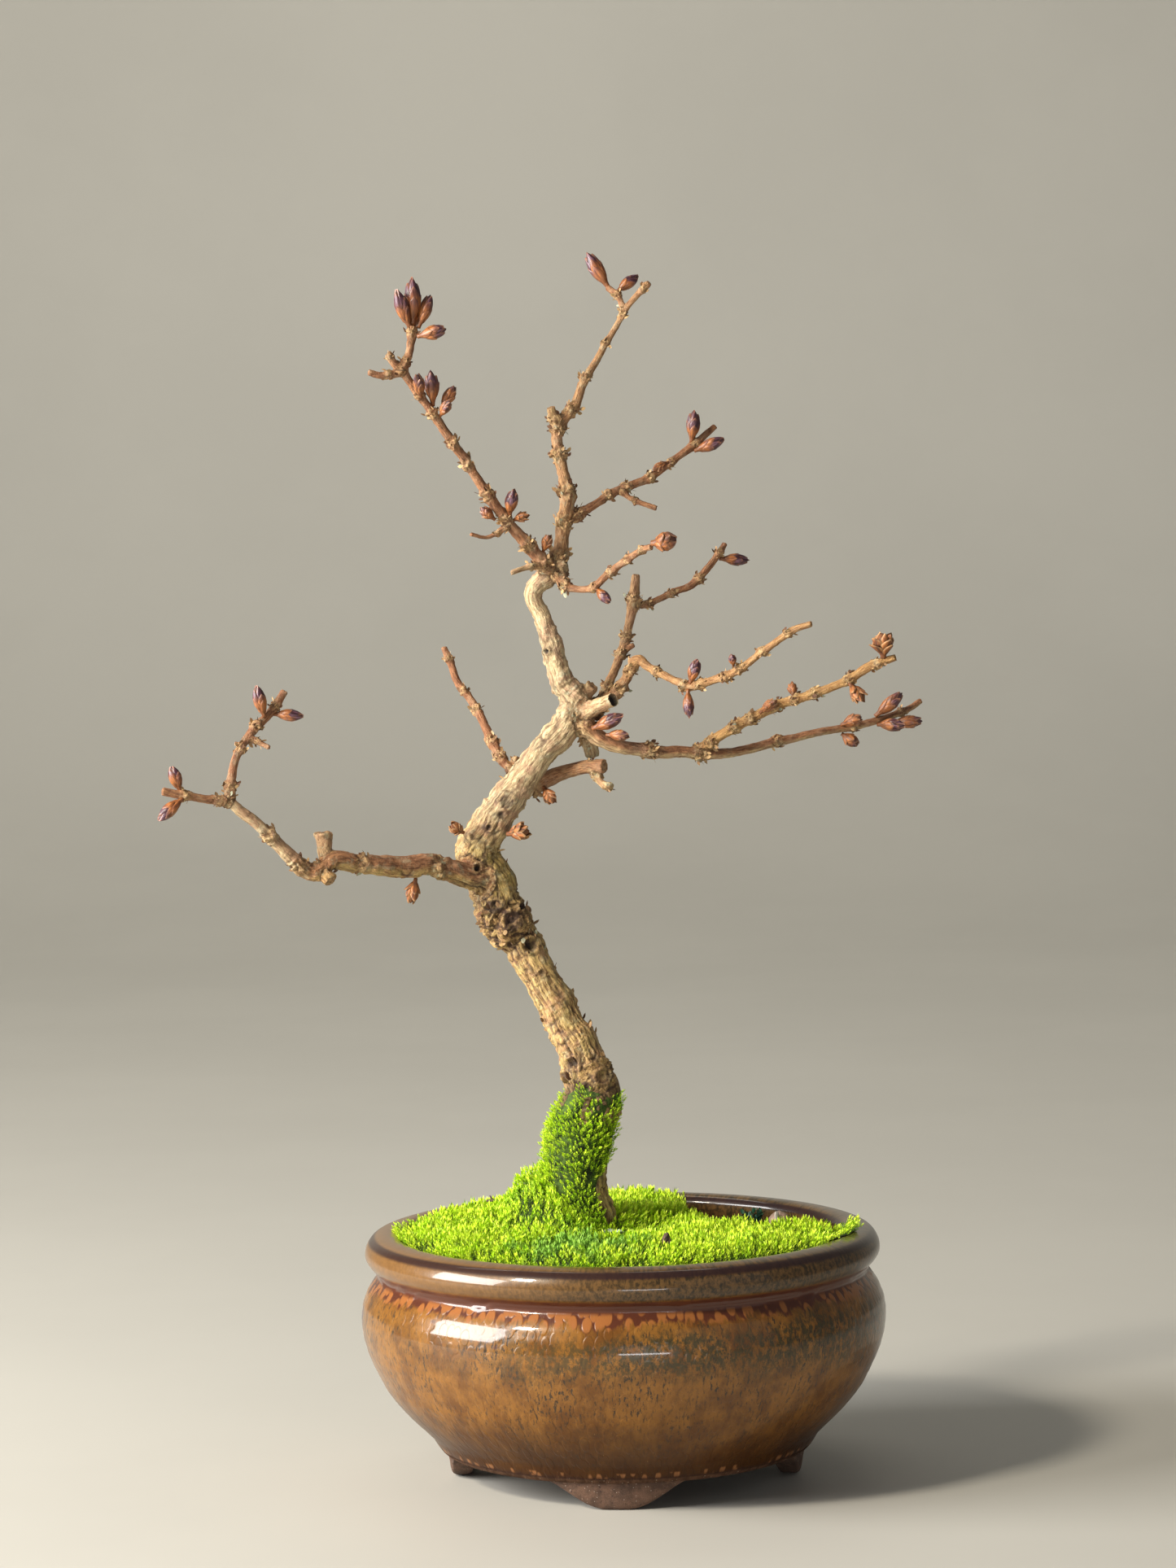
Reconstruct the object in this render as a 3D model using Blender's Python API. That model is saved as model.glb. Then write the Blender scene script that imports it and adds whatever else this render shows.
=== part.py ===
"""A bare winter bonsai with swelling buds, growing in a round glazed pot on four bracket feet.

Every size below is in millimetres. The meshes are written in metres, +Z up, and stand on Z = 0.
The pot's axis is X = Y = 0 of its parent empty, which is shifted so that the whole object is
centred on the origin.
"""

import math

import bmesh
import bpy
from mathutils import Vector

MM = 0.001
GAP = 0.35  # left between pieces that touch

# Pot: one fired piece
BELLY_RADIUS = 74.8
RIM_HEIGHT = 70.0
LIP_HEIGHT = 11.8  # from the neck up to the rim
SHOULDER_HEIGHT = 12.2  # from the belly up to the neck
NECK_INSET = 4.9
LIP_INSET = 1.4
MOUTH_INSET = 12.4
MOUTH_DEPTH = 6.0  # from the rim down to the mouth's narrowest
BASE_RADIUS = 50.8
BAND_OUT = 4.4  # base band, out to where the wall springs
BAND_HEIGHT = 4.8
WALL = 5.5
FLOOR = 5.0
CORNER_HEIGHT = 6.0  # inside, from the floor's edge up to the wall
CORNER_WALL = 3.0  # wall left outside the floor's edge
DRAIN_RADIUS = 8.0
POT_SEGMENTS = 44

# Feet: four brackets under the base
FOOT_COUNT = 4
FOOT_HEIGHT = 7.5
FOOT_THICKNESS = 7.0
FOOT_TAPER = 1.2
FOOT_INSET = 0.25  # behind the base's edge
FOOT_BURIED = 0.6  # the ends of its curve, inside the base
FOOT_FLAT_WIDTH = 15.0
FOOT_TOP_WIDTH = 47.0
FOOT_TURN = math.radians(-93.5)

# Drain cover and the wire staple that holds it
MESH_CELL = 2.5
MESH_CELLS = 11
MESH_THICKNESS = 0.9
WIRE_RADIUS = 0.6
WIRE_FOOT = 9.0
WIRE_BEND = 0.9

# Soil and moss
SOIL_DROP = 7.5  # soil below the rim at the wall
SOIL_RISE = 8.0  # soil higher at the trunk
MOSS_EDGE_RISE = 0.8  # moss above the rim at the wall
MOSS_EDGE_DOME = 3.0  # more, reached MOSS_EDGE_WIDTH in from the wall
MOSS_EDGE_WIDTH = 12.0
MOSS_RISE = 8.5  # moss higher at the trunk
MOSS_MOUND = 5.0  # mound beside the trunk
MOUND_OFFSET = (-8.0, -3.0)
MOUND_SPREAD = 11.0
WATERING_GAP_DEPTH = 24.0
WATERING_GAP_ANGLE = math.radians(43.0)
WATERING_GAP_SPREAD = math.radians(21.0)
SLEEVE_THICKNESS = 3.6
SLEEVE_TOP = 39.5  # above the rim
SLEEVE_SLANT = 2.5  # its thin side ends this much lower
SLEEVE_FLARE = 2.5  # thicker at its foot
SLEEVE_START = math.radians(62)
SLEEVE_ENDS = (math.radians(300), math.radians(325))  # at its foot and at its top
SLEEVE_THICKEST = math.radians(200)
ROOT_CLEARANCE = GAP + 0.15  # round the buried wood, whose sides are flat

# Wood. Each route lists its points as (x, y, z, radius) from the pot's axis and the rim's level,
# and is smoothed between them. A branch's first point lies inside the wood it grows from.
TRUNK_SIDES = 12
TRUNK = [
    (-8.5, 0, -12, 10), (-9.2, 0, -3, 9.5), (-10.4, 0, 8, 7.2), (-11, 0, 16, 7.0), (-10.4, 0, 25, 7.7),
    (-8, 0, 40, 8), (-11, 0, 50.5, 6.6), (-16, 1, 60.5, 5.5), (-25, 2, 78, 5.3),
    (-32.5, 3, 89.5, 7.8), (-36, 3, 100.5, 6.2), (-39.5, 3, 108, 6.2), (-34.5, 2, 116.5, 5.4),
    (-22, 1, 133.5, 4.3), (-10.5, 0, 147.5, 4.6), (-14.5, 0, 156, 3.5), (-19, 1, 173, 2.7),
    (-21.5, 1, 181, 2.7), (-15, 0, 187.5, 3.8),
]
TRUNK_BASE_X = TRUNK[0][0]
TRUNK_BURIED_POINTS = 4  # the first points, those in the soil and the moss

ROOT_ANGLES = (20, 95, 165, 235, 305)
ROOT_SIDES = 7
ROOT_REACH = ((4, 2, 8.5), (18, 12, 5), (34, 24, 3), (44, 36, 1.5))  # out, below base, radius
ROOT_BASE_HEIGHT = -3.0  # from the rim's level

BIG_SIDES = 8
BIG_BRANCHES = {
    "left_big": [
        (-37, 1, 99, 4.2), (-42, -3, 101, 3.5), (-52.5, -9, 104.5, 3.1), (-58.5, -12, 104.5, 3.1),
        (-70, -18, 106, 2.8), (-78, -22, 107.5, 2.8), (-82, -24, 105, 2.8), (-86, -25, 105.5, 2.3),
        (-96, -29, 115.5, 1.7), (-106.5, -32, 125.5, 1.5),
    ],
    "right_main": [
        (-11, 0, 146, 3.4), (-4.5, -2, 140, 2.5), (0.5, -2, 137.5, 2.2), (7.5, -1, 136, 1.9),
        (22, 3, 134.5, 1.7), (34, 7, 134.5, 1.45), (47.5, 12, 137, 1.35), (60, 16, 139.5, 1.2),
        (72, 21, 141, 1.15), (84, 26, 144.5, 1.0), (89.5, 28, 147.5, 0.9),
    ],
    "reddish_stub": [
        (-23.5, 4, 125.5, 2.8), (-16.5, 5, 129, 2.2), (-10, 3, 131, 2), (-2.5, -1, 131.5, 2.1),
    ],
    "dark_cut_stub": [(-9, -1, 146.5, 2.6), (-4, -5, 148.5, 1.9), (1, -8, 151, 1.75)],
    "pale_cut_stub": [(-11.5, 1, 148, 2.8), (-7.5, 1, 152, 2.1), (-5.5, 0, 154.5, 1.9)],
    "left_big_stub_up": [(-80, -23, 105.5, 2.2), (-81, -22, 111.5, 2.5), (-81, -22, 115.5, 2.6)],
    "left_big_stub_down": [(-82, -24, 105.5, 2), (-79, -26, 102, 1.9)],
    "trunk_knob": [(-8.5, 0, 40, 6), (-3, -1, 40.5, 3.8), (-1, -1, 41, 2.4)],
    "burl_left": [(-33, 3, 90, 6), (-39, 2, 87.5, 4)],
    "burl_front": [(-31, 2, 88, 6), (-29.5, -4.5, 85, 3.2)],
    "collar_left": [(-39, 3, 108, 5), (-44, 2, 110.5, 2.6)],
}

TWIG_SIDES = 6
TWIGS = {
    "leader": [
        (-15.2, 0.4, 185.5, 3), (-13.5, 0, 195.5, 2), (-12, 0, 208, 2), (-14, 1, 220.5, 1.6),
        (-14, 1, 227.5, 1.7), (-9, 2, 234, 1.4), (-5.5, 3, 242, 1.2), (0.5, 5, 251.5, 0.95),
        (5.5, 6, 260, 0.95), (7.5, 5, 262.5, 0.95), (12.5, 2, 267.5, 0.9),
    ],
    "leader_stub": [(-14, 1, 226.5, 1.5), (-16, -1, 233, 1.3)],
    "tip_left": [(5.5, 6, 259.5, 0.9), (3.5, 7, 264, 0.9), (0.5, 8, 267, 0.9)],
    "crown_right": [
        (-12.5, 0, 201, 1.8), (-6, 2, 204, 1.35), (2.5, 6, 209.5, 1.3), (12, 10, 213, 1.15),
        (20, 14, 218.5, 1.1), (24, 16, 221.5, 1.2), (31, 19, 227.5, 0.9),
    ],
    "crown_right_shoot": [(3, 6, 209.5, 0.9), (7, 5, 206.5, 0.75), (13.5, 4, 204, 0.9)],
    "crown_left": [
        (-16.2, -0.7, 186.4, 2.4), (-22.5, -4, 193.5, 1.7), (-29, -8, 201, 1.6), (-39, -13, 216.5, 1.35),
        (-47, -17, 229, 1.25), (-54.5, -20, 239, 1.15), (-56.5, -21, 243, 1.35),
        (-55, -21, 247.5, 1.1), (-53.3, -20, 255, 1.3),
    ],
    "crown_left_stub": [(-56.5, -21, 242.5, 1.1), (-62, -22, 241.5, 1), (-66, -23, 242.5, 1)],
    "crown_left_spur": [(-56.5, -21, 243, 1), (-59, -22, 245, 0.9), (-60, -22, 247.5, 0.85)],
    "crown_left_dry_twig": [(-28.5, -8, 199.5, 0.9), (-34, -9, 196.5, 0.6), (-39, -11, 197.5, 0.7)],
    "crown_dry_twig": [(-18, -2, 189, 1.1), (-24.5, -6, 187.5, 0.8), (-28, -7, 186.5, 0.8)],
    "crown_small_right": [
        (-15, -1, 186, 2), (-11.5, -4, 182, 1.15), (-5.5, -8, 182, 1.1), (0.5, -12, 186.5, 1.1),
        (8.5, -18, 192, 0.95), (11.5, -21, 193, 1),
    ],
    "upright": [
        (-9.5, 1, 146.5, 2), (-3, 5, 151, 1.4), (3, 11, 164, 1.3), (5, 13, 170.5, 1.3),
        (6.5, 15, 177.5, 1.6), (7.5, 16, 185.5, 1.2),
    ],
    "upright_side": [
        (6.5, 15, 177.5, 1.2), (10.5, 17, 177, 1.05), (19, 21, 180.5, 1), (24, 23, 182.5, 1.1),
        (31, 27, 190, 1.05), (33.5, 28, 194, 0.9),
    ],
    "upright_spur": [(3, 11, 163.5, 0.9), (6.5, 10, 165.5, 0.8)],
    "zigzag": [
        (-7, 2, 146.5, 2), (1, 3, 152, 1.55), (7, -1, 161, 1.6), (10.5, -4, 159, 1.2),
        (18.5, -10, 155, 1.15), (22, -12, 153.5, 1.25), (34, -19, 158, 1.15),
        (42, -24, 163.5, 1.05), (49.5, -28, 169, 1.05), (55, -30, 171, 0.95),
    ],
    "right_second": [
        (23, 4, 134.5, 1.4), (31, 2, 140, 1.4), (42.5, -2, 146, 1.4), (56, -7, 151, 1.25),
        (66, -11, 155, 1.2), (71.5, -14, 158.5, 1.3), (79, -16, 161, 1),
    ],
    "lichen_spur": [(-9, 1, 145, 2), (-7, 5, 139.5, 1.7), (-6, 8, 134, 1.6)],
    "reddish_twig": [(-6, 1, 132, 1.3), (-4, -1, 127, 1.1), (-0.5, -3, 125.5, 1)],
    "left_up": [
        (-26, 2, 128.5, 2.4), (-29, 9, 130.5, 1.5), (-32.5, 12, 134, 1.4), (-38.5, 20, 146.5, 1.2),
        (-44, 25, 155, 1.15), (-48.5, 29, 165.5, 0.95),
    ],
    "left_up_stub": [(-29.5, 9, 130.5, 1.3), (-27, 9, 133.5, 1.5)],
    "left_big_end": [(-106, -32, 125, 1.3), (-118, -36, 127, 1.2), (-124, -38, 128.5, 1.2)],
    "left_big_up": [
        (-106.5, -32, 125, 1.35), (-104.5, -29, 136, 1.2), (-101, -26, 142.5, 1.2),
        (-94.5, -22, 150, 1.2), (-91, -21, 155, 1.1),
    ],
    "left_big_twig": [(-101.5, -26, 142, 0.9), (-98, -27, 141, 0.8), (-95, -28, 139.5, 0.8)],
}
ROUTE_STEPS = 2  # smoothed points for each one given

# Buds: base beside its twig and tip, placed as the wood is, and largest radius. Each is pushed out
# until it clears the wood.
BUD_SIDES = 6
BUD_PROFILE = ((0.0, 0.42), (0.25, 0.9), (0.5, 1.0), (0.8, 0.55))  # along the bud, share of radius
BUDS = {
    "bud_top_left": ((0, 8, 268), (-5.5, 9, 277), 1.9),
    "bud_top_right": ((4.5, 8, 266.5), (9.5, 10, 270.5), 1.6),
    "bud_crown_right_up": ((24, 16, 223), (25, 15, 231), 1.8),
    "bud_crown_right_out": ((26, 15, 221), (33.5, 14, 223.5), 1.7),
    "bud_crown_right_low": ((19, 12, 218), (15, 9, 216), 1.2),
    "bud_crown_left_tip": ((-53.5, -20, 257), (-53, -20, 268.5), 2.1),
    "bud_crown_left_outer": ((-55, -21, 256), (-58.3, -22.5, 265), 1.8),
    "bud_crown_left_inner": ((-51.3, -19.5, 256), (-48.3, -17.5, 264), 1.7),
    "bud_crown_left_side": ((-51, -22, 252.5), (-44, -23.5, 254), 1.8),
    "bud_crown_left_back": ((-53.5, -17.5, 255), (-53.5, -14.5, 261), 1.4),
    "bud_left_cluster_tall": ((-48.5, -18, 233), (-48.5, -20.5, 241.5), 1.8),
    "bud_left_cluster_outer": ((-51.5, -19, 234), (-52, -24, 239.5), 1.4),
    "bud_left_cluster_inner": ((-45.5, -17, 233.5), (-42, -17, 238.5), 1.5),
    "bud_left_cluster_low": ((-46, -19, 231), (-43.5, -22.5, 234.5), 1.3),
    "bud_left_lower_tall": ((-28, -9, 202.5), (-27, -11, 209), 1.7),
    "bud_left_lower_inner": ((-26.5, -8, 201.5), (-22.5, -9, 203), 1.2),
    "bud_left_lower_outer": ((-31.5, -9, 201), (-35, -10, 204), 1.4),
    "bud_crown_base": ((-18.5, -3.5, 193), (-16.5, -5.5, 197), 1.3),
    "bud_small_right_tip": ((12.5, -22, 194), (18.5, -24, 194.5), 2.4),
    "bud_small_right_low": ((-3.5, -10, 181), (0, -13, 177.5), 1.4),
    "bud_upright_side_tip": ((33, 28, 189.5), (40.5, 30, 189), 1.6),
    "bud_zigzag_up": ((22, -13, 155.5), (24, -14, 161.5), 1.6),
    "bud_zigzag_down": ((21, -13.5, 152), (21, -15, 145), 1.4),
    "bud_zigzag_small": ((33.5, -20.5, 160), (33, -22, 163), 1.0),
    "bud_fork_upper": ((-4.5, -6, 143), (3, -9, 146), 1.9),
    "bud_fork_lower": ((-1, -6, 140.5), (4.5, -9, 140.5), 1.4),
    "bud_main_fork": ((30, 3, 136.8), (34, 0.5, 140), 1.3),
    "bud_second_back": ((51, -3, 150.5), (50.5, -1, 154.5), 1.1),
    "bud_main_up": ((66, 17.5, 141.5), (71, 15.5, 143.5), 1.5),
    "bud_main_down": ((66.5, 18.5, 138), (70.5, 18, 135), 1.6),
    "bud_main_tip_up": ((77, 22, 144.5), (84, 21, 150), 1.8),
    "bud_main_tip_front": ((77.5, 21, 141), (84, 17.5, 141), 1.7),
    "bud_main_tip_low": ((82, 24, 141.5), (89.5, 24, 141.5), 1.6),
    "bud_second_tip": ((75.5, -16, 162), (75, -17.5, 168), 2.3),
    "bud_second_low": ((67, -12.5, 153), (70, -15, 148.5), 1.7),
    "bud_left_big_left": ((-97, -24.5, 149), (-99, -25.5, 156.5), 1.7),
    "bud_left_big_right": ((-93, -22.5, 148.5), (-86, -22.5, 148), 1.6),
    "bud_left_end_up": ((-119.5, -36.5, 129), (-121.5, -37, 135), 1.7),
    "bud_left_end_down": ((-119.5, -37.5, 125.5), (-125.5, -39, 120.5), 1.7),
    "bud_left_big_low": ((-56.5, -12, 100.5), (-58, -13, 94.5), 1.6),
    "bud_collar_left": ((-43.5, -3.5, 114), (-46.5, -6.5, 116), 1.5),
    "bud_collar_right": ((-29.5, -3, 113), (-24, -5.5, 114), 1.9),
    "bud_stub_base": ((-19.5, 2, 125), (-17, 0, 121), 1.5),
}

# Loose bits: angle round the pot, inset from the mouth, size, turn and what each lies on
BITS = {
    "lichen_tuft": (-101, 44.0, (9.0, 6.0, 2.0), 12, "moss"),
    "bark_chip": (-75.5, 16.0, (5.5, 3.0, 2.6), 25, "moss"),
    "fallen_twig": (148.5, 20.0, (8.0, 1.5, 1.5), -35, "moss"),
    "pebble": (36, 4.9, (8.0, 6.8, 6.0), 0, "soil"),
    "moss_seedling": (44.5, 10.0, (5.2, 4.4, 3.9), 0, "soil"),
}

SMOOTH_ANGLE = math.radians(40)


def lerp(a, b, t):
    return a + (b - a) * t


def smooth_step(t):
    t = min(1.0, max(0.0, t))
    return t * t * (3 - 2 * t)


def make_material(name, colour, roughness, metallic=0.0):
    material = bpy.data.materials.new(name)
    material.use_nodes = True
    shader = material.node_tree.nodes["Principled BSDF"]
    shader.inputs["Base Color"].default_value = (*colour, 1.0)
    shader.inputs["Roughness"].default_value = roughness
    shader.inputs["Metallic"].default_value = metallic
    material.diffuse_color = (*colour, 1.0)
    return material


def new_object(name, points, faces, material):
    """An object from points in millimetres, with its faces turned outwards."""
    mesh = bpy.data.meshes.new(name)
    mesh.from_pydata([Vector(point) * MM for point in points], [], faces)
    shape = bmesh.new()
    shape.from_mesh(mesh)
    bmesh.ops.recalc_face_normals(shape, faces=shape.faces)
    shape.to_mesh(mesh)
    shape.free()
    mesh.shade_smooth()
    mesh.set_sharp_from_angle(angle=SMOOTH_ANGLE)
    mesh.materials.append(material)
    obj = bpy.data.objects.new(name, mesh)
    bpy.context.scene.collection.objects.link(obj)
    return obj


def make_helper(obj):
    obj.hide_render = True
    obj.display_type = "WIRE"
    return obj


def add_boolean(obj, other, operation, self_crossing=False):
    modifier = obj.modifiers.new(operation.title() + "_" + other.name, "BOOLEAN")
    modifier.operation = operation
    modifier.solver = "EXACT"
    modifier.use_self = self_crossing
    modifier.object = other
    return modifier


def turned_solid(profile, segments):
    """Points and faces of a closed (radius, height) outline turned about Z. Radius 0 is a pole."""
    points, faces, rings = [], [], []
    for radius, height in profile:
        if radius == 0:
            rings.append([len(points)] * segments)
            points.append((0, 0, height))
            continue
        rings.append(list(range(len(points), len(points) + segments)))
        for i in range(segments):
            angle = math.tau * i / segments
            points.append((radius * math.cos(angle), radius * math.sin(angle), height))
    for lower, upper in zip(rings, rings[1:] + rings[:1]):
        for i in range(segments):
            j = (i + 1) % segments
            corners = dict.fromkeys((lower[i], lower[j], upper[j], upper[i]))
            if len(corners) > 2:
                faces.append(list(corners))
    return points, faces


def box_solid(low, high):
    corners = [(x, y, z) for x in (low[0], high[0]) for y in (low[1], high[1]) for z in (low[2], high[2])]
    faces = [(0, 1, 3, 2), (4, 6, 7, 5), (0, 4, 5, 1), (2, 3, 7, 6), (0, 2, 6, 4), (1, 5, 7, 3)]
    return corners, faces


# ---------------------------------------------------------------------------------------- pot

NECK_HEIGHT = RIM_HEIGHT - LIP_HEIGHT
BELLY_HEIGHT = NECK_HEIGHT - SHOULDER_HEIGHT
FLOOR_TOP = FOOT_HEIGHT + FLOOR
MOUTH_RADIUS = BELLY_RADIUS - MOUTH_INSET
LIP_RADIUS = BELLY_RADIUS - LIP_INSET
NECK_RADIUS = BELLY_RADIUS - NECK_INSET


def outer_radius(height):
    """The pot's outer wall between the base band and the neck."""
    low_radius, low_height = BASE_RADIUS + BAND_OUT, FOOT_HEIGHT + BAND_HEIGHT
    if height < BELLY_HEIGHT:
        u = max(0.0, (height - low_height) / (BELLY_HEIGHT - low_height))
        return lerp(low_radius, BELLY_RADIUS, 1 - (1 - u) ** 2)
    v = (height - BELLY_HEIGHT) / (NECK_HEIGHT - BELLY_HEIGHT)
    return BELLY_RADIUS - NECK_INSET * v ** 2.2


def inner_radius(height):
    """The pot's inner wall, from the floor's corner up to the mouth."""
    top = RIM_HEIGHT - MOUTH_DEPTH
    if height > NECK_HEIGHT:
        t = min(1.0, (height - NECK_HEIGHT) / (top - NECK_HEIGHT))
        return lerp(outer_radius(NECK_HEIGHT) - WALL, MOUTH_RADIUS, t)
    return outer_radius(height) - WALL


def wall_heights(low, high, count):
    return [lerp(low, high, i / count) for i in range(count + 1)]


def inner_wall():
    """(radius, height) points of the pot's inner wall, from the mouth down to the floor."""
    heights = [RIM_HEIGHT - MOUTH_DEPTH] + wall_heights(NECK_HEIGHT, FLOOR_TOP + CORNER_HEIGHT, 5)
    floor_edge = outer_radius(FLOOR_TOP) - CORNER_WALL
    return [(inner_radius(z), z) for z in heights] + [(floor_edge, FLOOR_TOP)]


def inner_wall_radius(height):
    """The inner wall's radius at a height, along the straight runs between its points."""
    wall = inner_wall()
    for (high_radius, high), (low_radius, low) in zip(wall, wall[1:]):
        if height >= low:
            return lerp(low_radius, high_radius, min(1.0, (height - low) / (high - low)))
    return wall[-1][0]


def pot_profile():
    base, rim = FOOT_HEIGHT, RIM_HEIGHT
    outside = [(BASE_RADIUS, base), (BASE_RADIUS + 1.6, base + 0.7), (BASE_RADIUS + 2.9, base + 2.3)]
    outside += [(outer_radius(z), z) for z in wall_heights(base + BAND_HEIGHT, BELLY_HEIGHT, 6)]
    outside += [(outer_radius(z), z) for z in wall_heights(BELLY_HEIGHT, NECK_HEIGHT, 3)[1:]]
    lip = [
        (NECK_RADIUS + 0.5, NECK_HEIGHT + 1.6), (LIP_RADIUS - 1.6, NECK_HEIGHT + 3.2),
        (LIP_RADIUS, rim - 5.6), (LIP_RADIUS - 0.1, rim - 3.8), (LIP_RADIUS - 1.1, rim - 1.8),
        (LIP_RADIUS - 2.6, rim - 0.6), (lerp(MOUTH_RADIUS, LIP_RADIUS, 0.55), rim),
        (MOUTH_RADIUS + 2.6, rim - 0.3), (MOUTH_RADIUS + 0.7, rim - 1.3), (MOUTH_RADIUS, rim - 3.2),
    ]
    return outside + lip + inner_wall() + [(DRAIN_RADIUS, FLOOR_TOP), (DRAIN_RADIUS, base)]


def foot_outline():
    """(across, height) points of a bracket foot's lower edge, from end to end."""
    half = [(0.0, 0.0), (FOOT_FLAT_WIDTH / 2, 0.0)]
    steps = 6
    for i in range(1, steps + 1):
        t = i / steps
        across = lerp(FOOT_FLAT_WIDTH / 2, FOOT_TOP_WIDTH / 2, t)
        half.append((across, (FOOT_HEIGHT + FOOT_BURIED) * math.sin(t * math.pi / 2) ** 1.3))
    return [(-across, height) for across, height in reversed(half[1:])] + half


def foot_solid(turn):
    """A bracket foot as a bent slab whose top is buried in the pot's floor."""
    top = FOOT_HEIGHT + FLOOR / 2
    points, faces = [], []
    for across, height in foot_outline():
        angle = turn + across / BASE_RADIUS
        outward = (math.cos(angle), math.sin(angle))
        for z in (height, top):
            outer = BASE_RADIUS - FOOT_INSET - FOOT_TAPER * max(0.0, 1 - z / FOOT_HEIGHT)
            for radius in (outer, BASE_RADIUS - FOOT_THICKNESS):
                points.append((radius * outward[0], radius * outward[1], z))
    columns = len(points) // 4
    for i in range(columns - 1):
        a, b = 4 * i, 4 * (i + 1)
        faces += [(a, b, b + 1, a + 1), (a + 2, a + 3, b + 3, b + 2)]
        faces += [(a, a + 2, b + 2, b), (a + 1, b + 1, b + 3, a + 3)]
    last = 4 * (columns - 1)
    faces += [(0, 1, 3, 2), (last, last + 2, last + 3, last + 1)]
    return points, faces


def make_pot(material):
    pot = new_object("pot", *turned_solid(pot_profile(), POT_SEGMENTS), material)
    for i in range(FOOT_COUNT):
        turn = FOOT_TURN + math.tau * i / FOOT_COUNT
        foot = make_helper(new_object(f"foot_shape_{i + 1}", *foot_solid(turn), material))
        add_boolean(pot, foot, "UNION")
    return pot


def make_drain_mesh(material):
    """A square plastic net lying on the pot's floor over the drain hole."""
    half = MESH_CELL * MESH_CELLS / 2
    side = MESH_CELLS + 1
    low = FLOOR_TOP + GAP
    points = []
    for z in (low, low + MESH_THICKNESS):
        for i in range(side * side):
            points.append((i % side * MESH_CELL - half, i // side * MESH_CELL - half, z))
    solid = {
        (i, j) for i in range(MESH_CELLS) for j in range(MESH_CELLS) if not (i % 2 and j % 2)
    }
    layer = side * side
    faces = []
    for i, j in sorted(solid):
        a = j * side + i
        ring = [a, a + 1, a + side + 1, a + side]
        neighbours = [(i, j - 1), (i + 1, j), (i, j + 1), (i - 1, j)]
        faces += [ring[::-1], [corner + layer for corner in ring]]
        for k, neighbour in enumerate(neighbours):
            if neighbour not in solid:
                p, q = ring[k], ring[(k + 1) % 4]
                faces.append([p, q, q + layer, p + layer])
    return new_object("drain_mesh", points, faces, material)


def make_drain_wire(material):
    """A staple of wire over the net, down through the hole and out under the floor."""
    leg = 2 * MESH_CELL
    over = FLOOR_TOP + GAP + MESH_THICKNESS + GAP + WIRE_RADIUS
    under = FOOT_HEIGHT - GAP - WIRE_RADIUS
    half = [(leg - WIRE_BEND, 0, over), (leg, 0, over - WIRE_BEND)]
    half += [(leg, 0, under + WIRE_BEND), (leg + WIRE_BEND, 0, under), (leg + WIRE_FOOT, 0, under)]
    route = [(-x, y, z, WIRE_RADIUS) for x, y, z in reversed(half)]
    route += [(x, y, z, WIRE_RADIUS) for x, y, z in half]
    return new_object("drain_wire", *tube_solid(route, 6, 1), material)


# --------------------------------------------------------------------------------------- wood


def from_rim(route):
    """The route with its heights taken from the table instead of from the rim's level."""
    return [(x, y, z + RIM_HEIGHT, radius) for x, y, z, radius in route]


def smooth_route(route, steps):
    """The route's points with (steps - 1) more between each two, on a Catmull-Rom curve."""
    if steps == 1 or len(route) < 3:
        return [Vector(point) for point in route]
    ends = [Vector(point) for point in route]
    ends = [2 * ends[0] - ends[1]] + ends + [2 * ends[-1] - ends[-2]]
    smoothed = []
    for p0, p1, p2, p3 in zip(ends, ends[1:], ends[2:], ends[3:]):
        for k in range(steps):
            t = k / steps
            point = 2 * p1 + (p2 - p0) * t + (2 * p0 - 5 * p1 + 4 * p2 - p3) * t ** 2
            point += (3 * p1 - p0 - 3 * p2 + p3) * t ** 3
            smoothed.append(point / 2)
    return smoothed + [ends[-2]]


def tube_solid(route, sides, steps=ROUTE_STEPS, extra=0.0):
    """A closed tube along a route of (x, y, z, radius), made larger all over by extra."""
    path = smooth_route(route, steps)
    centres = [Vector(point[:3]) for point in path]
    tangents = [
        (centres[min(i + 1, len(path) - 1)] - centres[max(i - 1, 0)]).normalized()
        for i in range(len(path))
    ]
    centres[0] -= tangents[0] * extra
    centres[-1] += tangents[-1] * extra
    across = tangents[0].orthogonal().normalized()
    points, faces = [], []
    for centre, tangent, point in zip(centres, tangents, path):
        across = (across - tangent * across.dot(tangent)).normalized()
        other = tangent.cross(across)
        for i in range(sides):
            angle = math.tau * i / sides
            points.append(centre + (across * math.cos(angle) + other * math.sin(angle)) * (point[3] + extra))
    for ring in range(len(path) - 1):
        for i in range(sides):
            a, b = ring * sides + i, ring * sides + (i + 1) % sides
            faces.append((a, b, b + sides, a + sides))
    faces.append(tuple(reversed(range(sides))))
    faces.append(tuple(range(len(points) - sides, len(points))))
    return points, faces


def root_route(angle):
    angle = math.radians(angle)
    return [
        (TRUNK_BASE_X + out * math.cos(angle), out * math.sin(angle), ROOT_BASE_HEIGHT - down, radius)
        for out, down, radius in ROOT_REACH
    ]


def joined_tubes(name, tubes, material):
    """Several closed tubes in one mesh, still crossing each other."""
    points, faces = [], []
    for tube_points, tube_faces in tubes:
        first = len(points)
        points += tube_points
        faces += [[corner + first for corner in face] for face in tube_faces]
    return new_object(name, points, faces, material)


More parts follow.
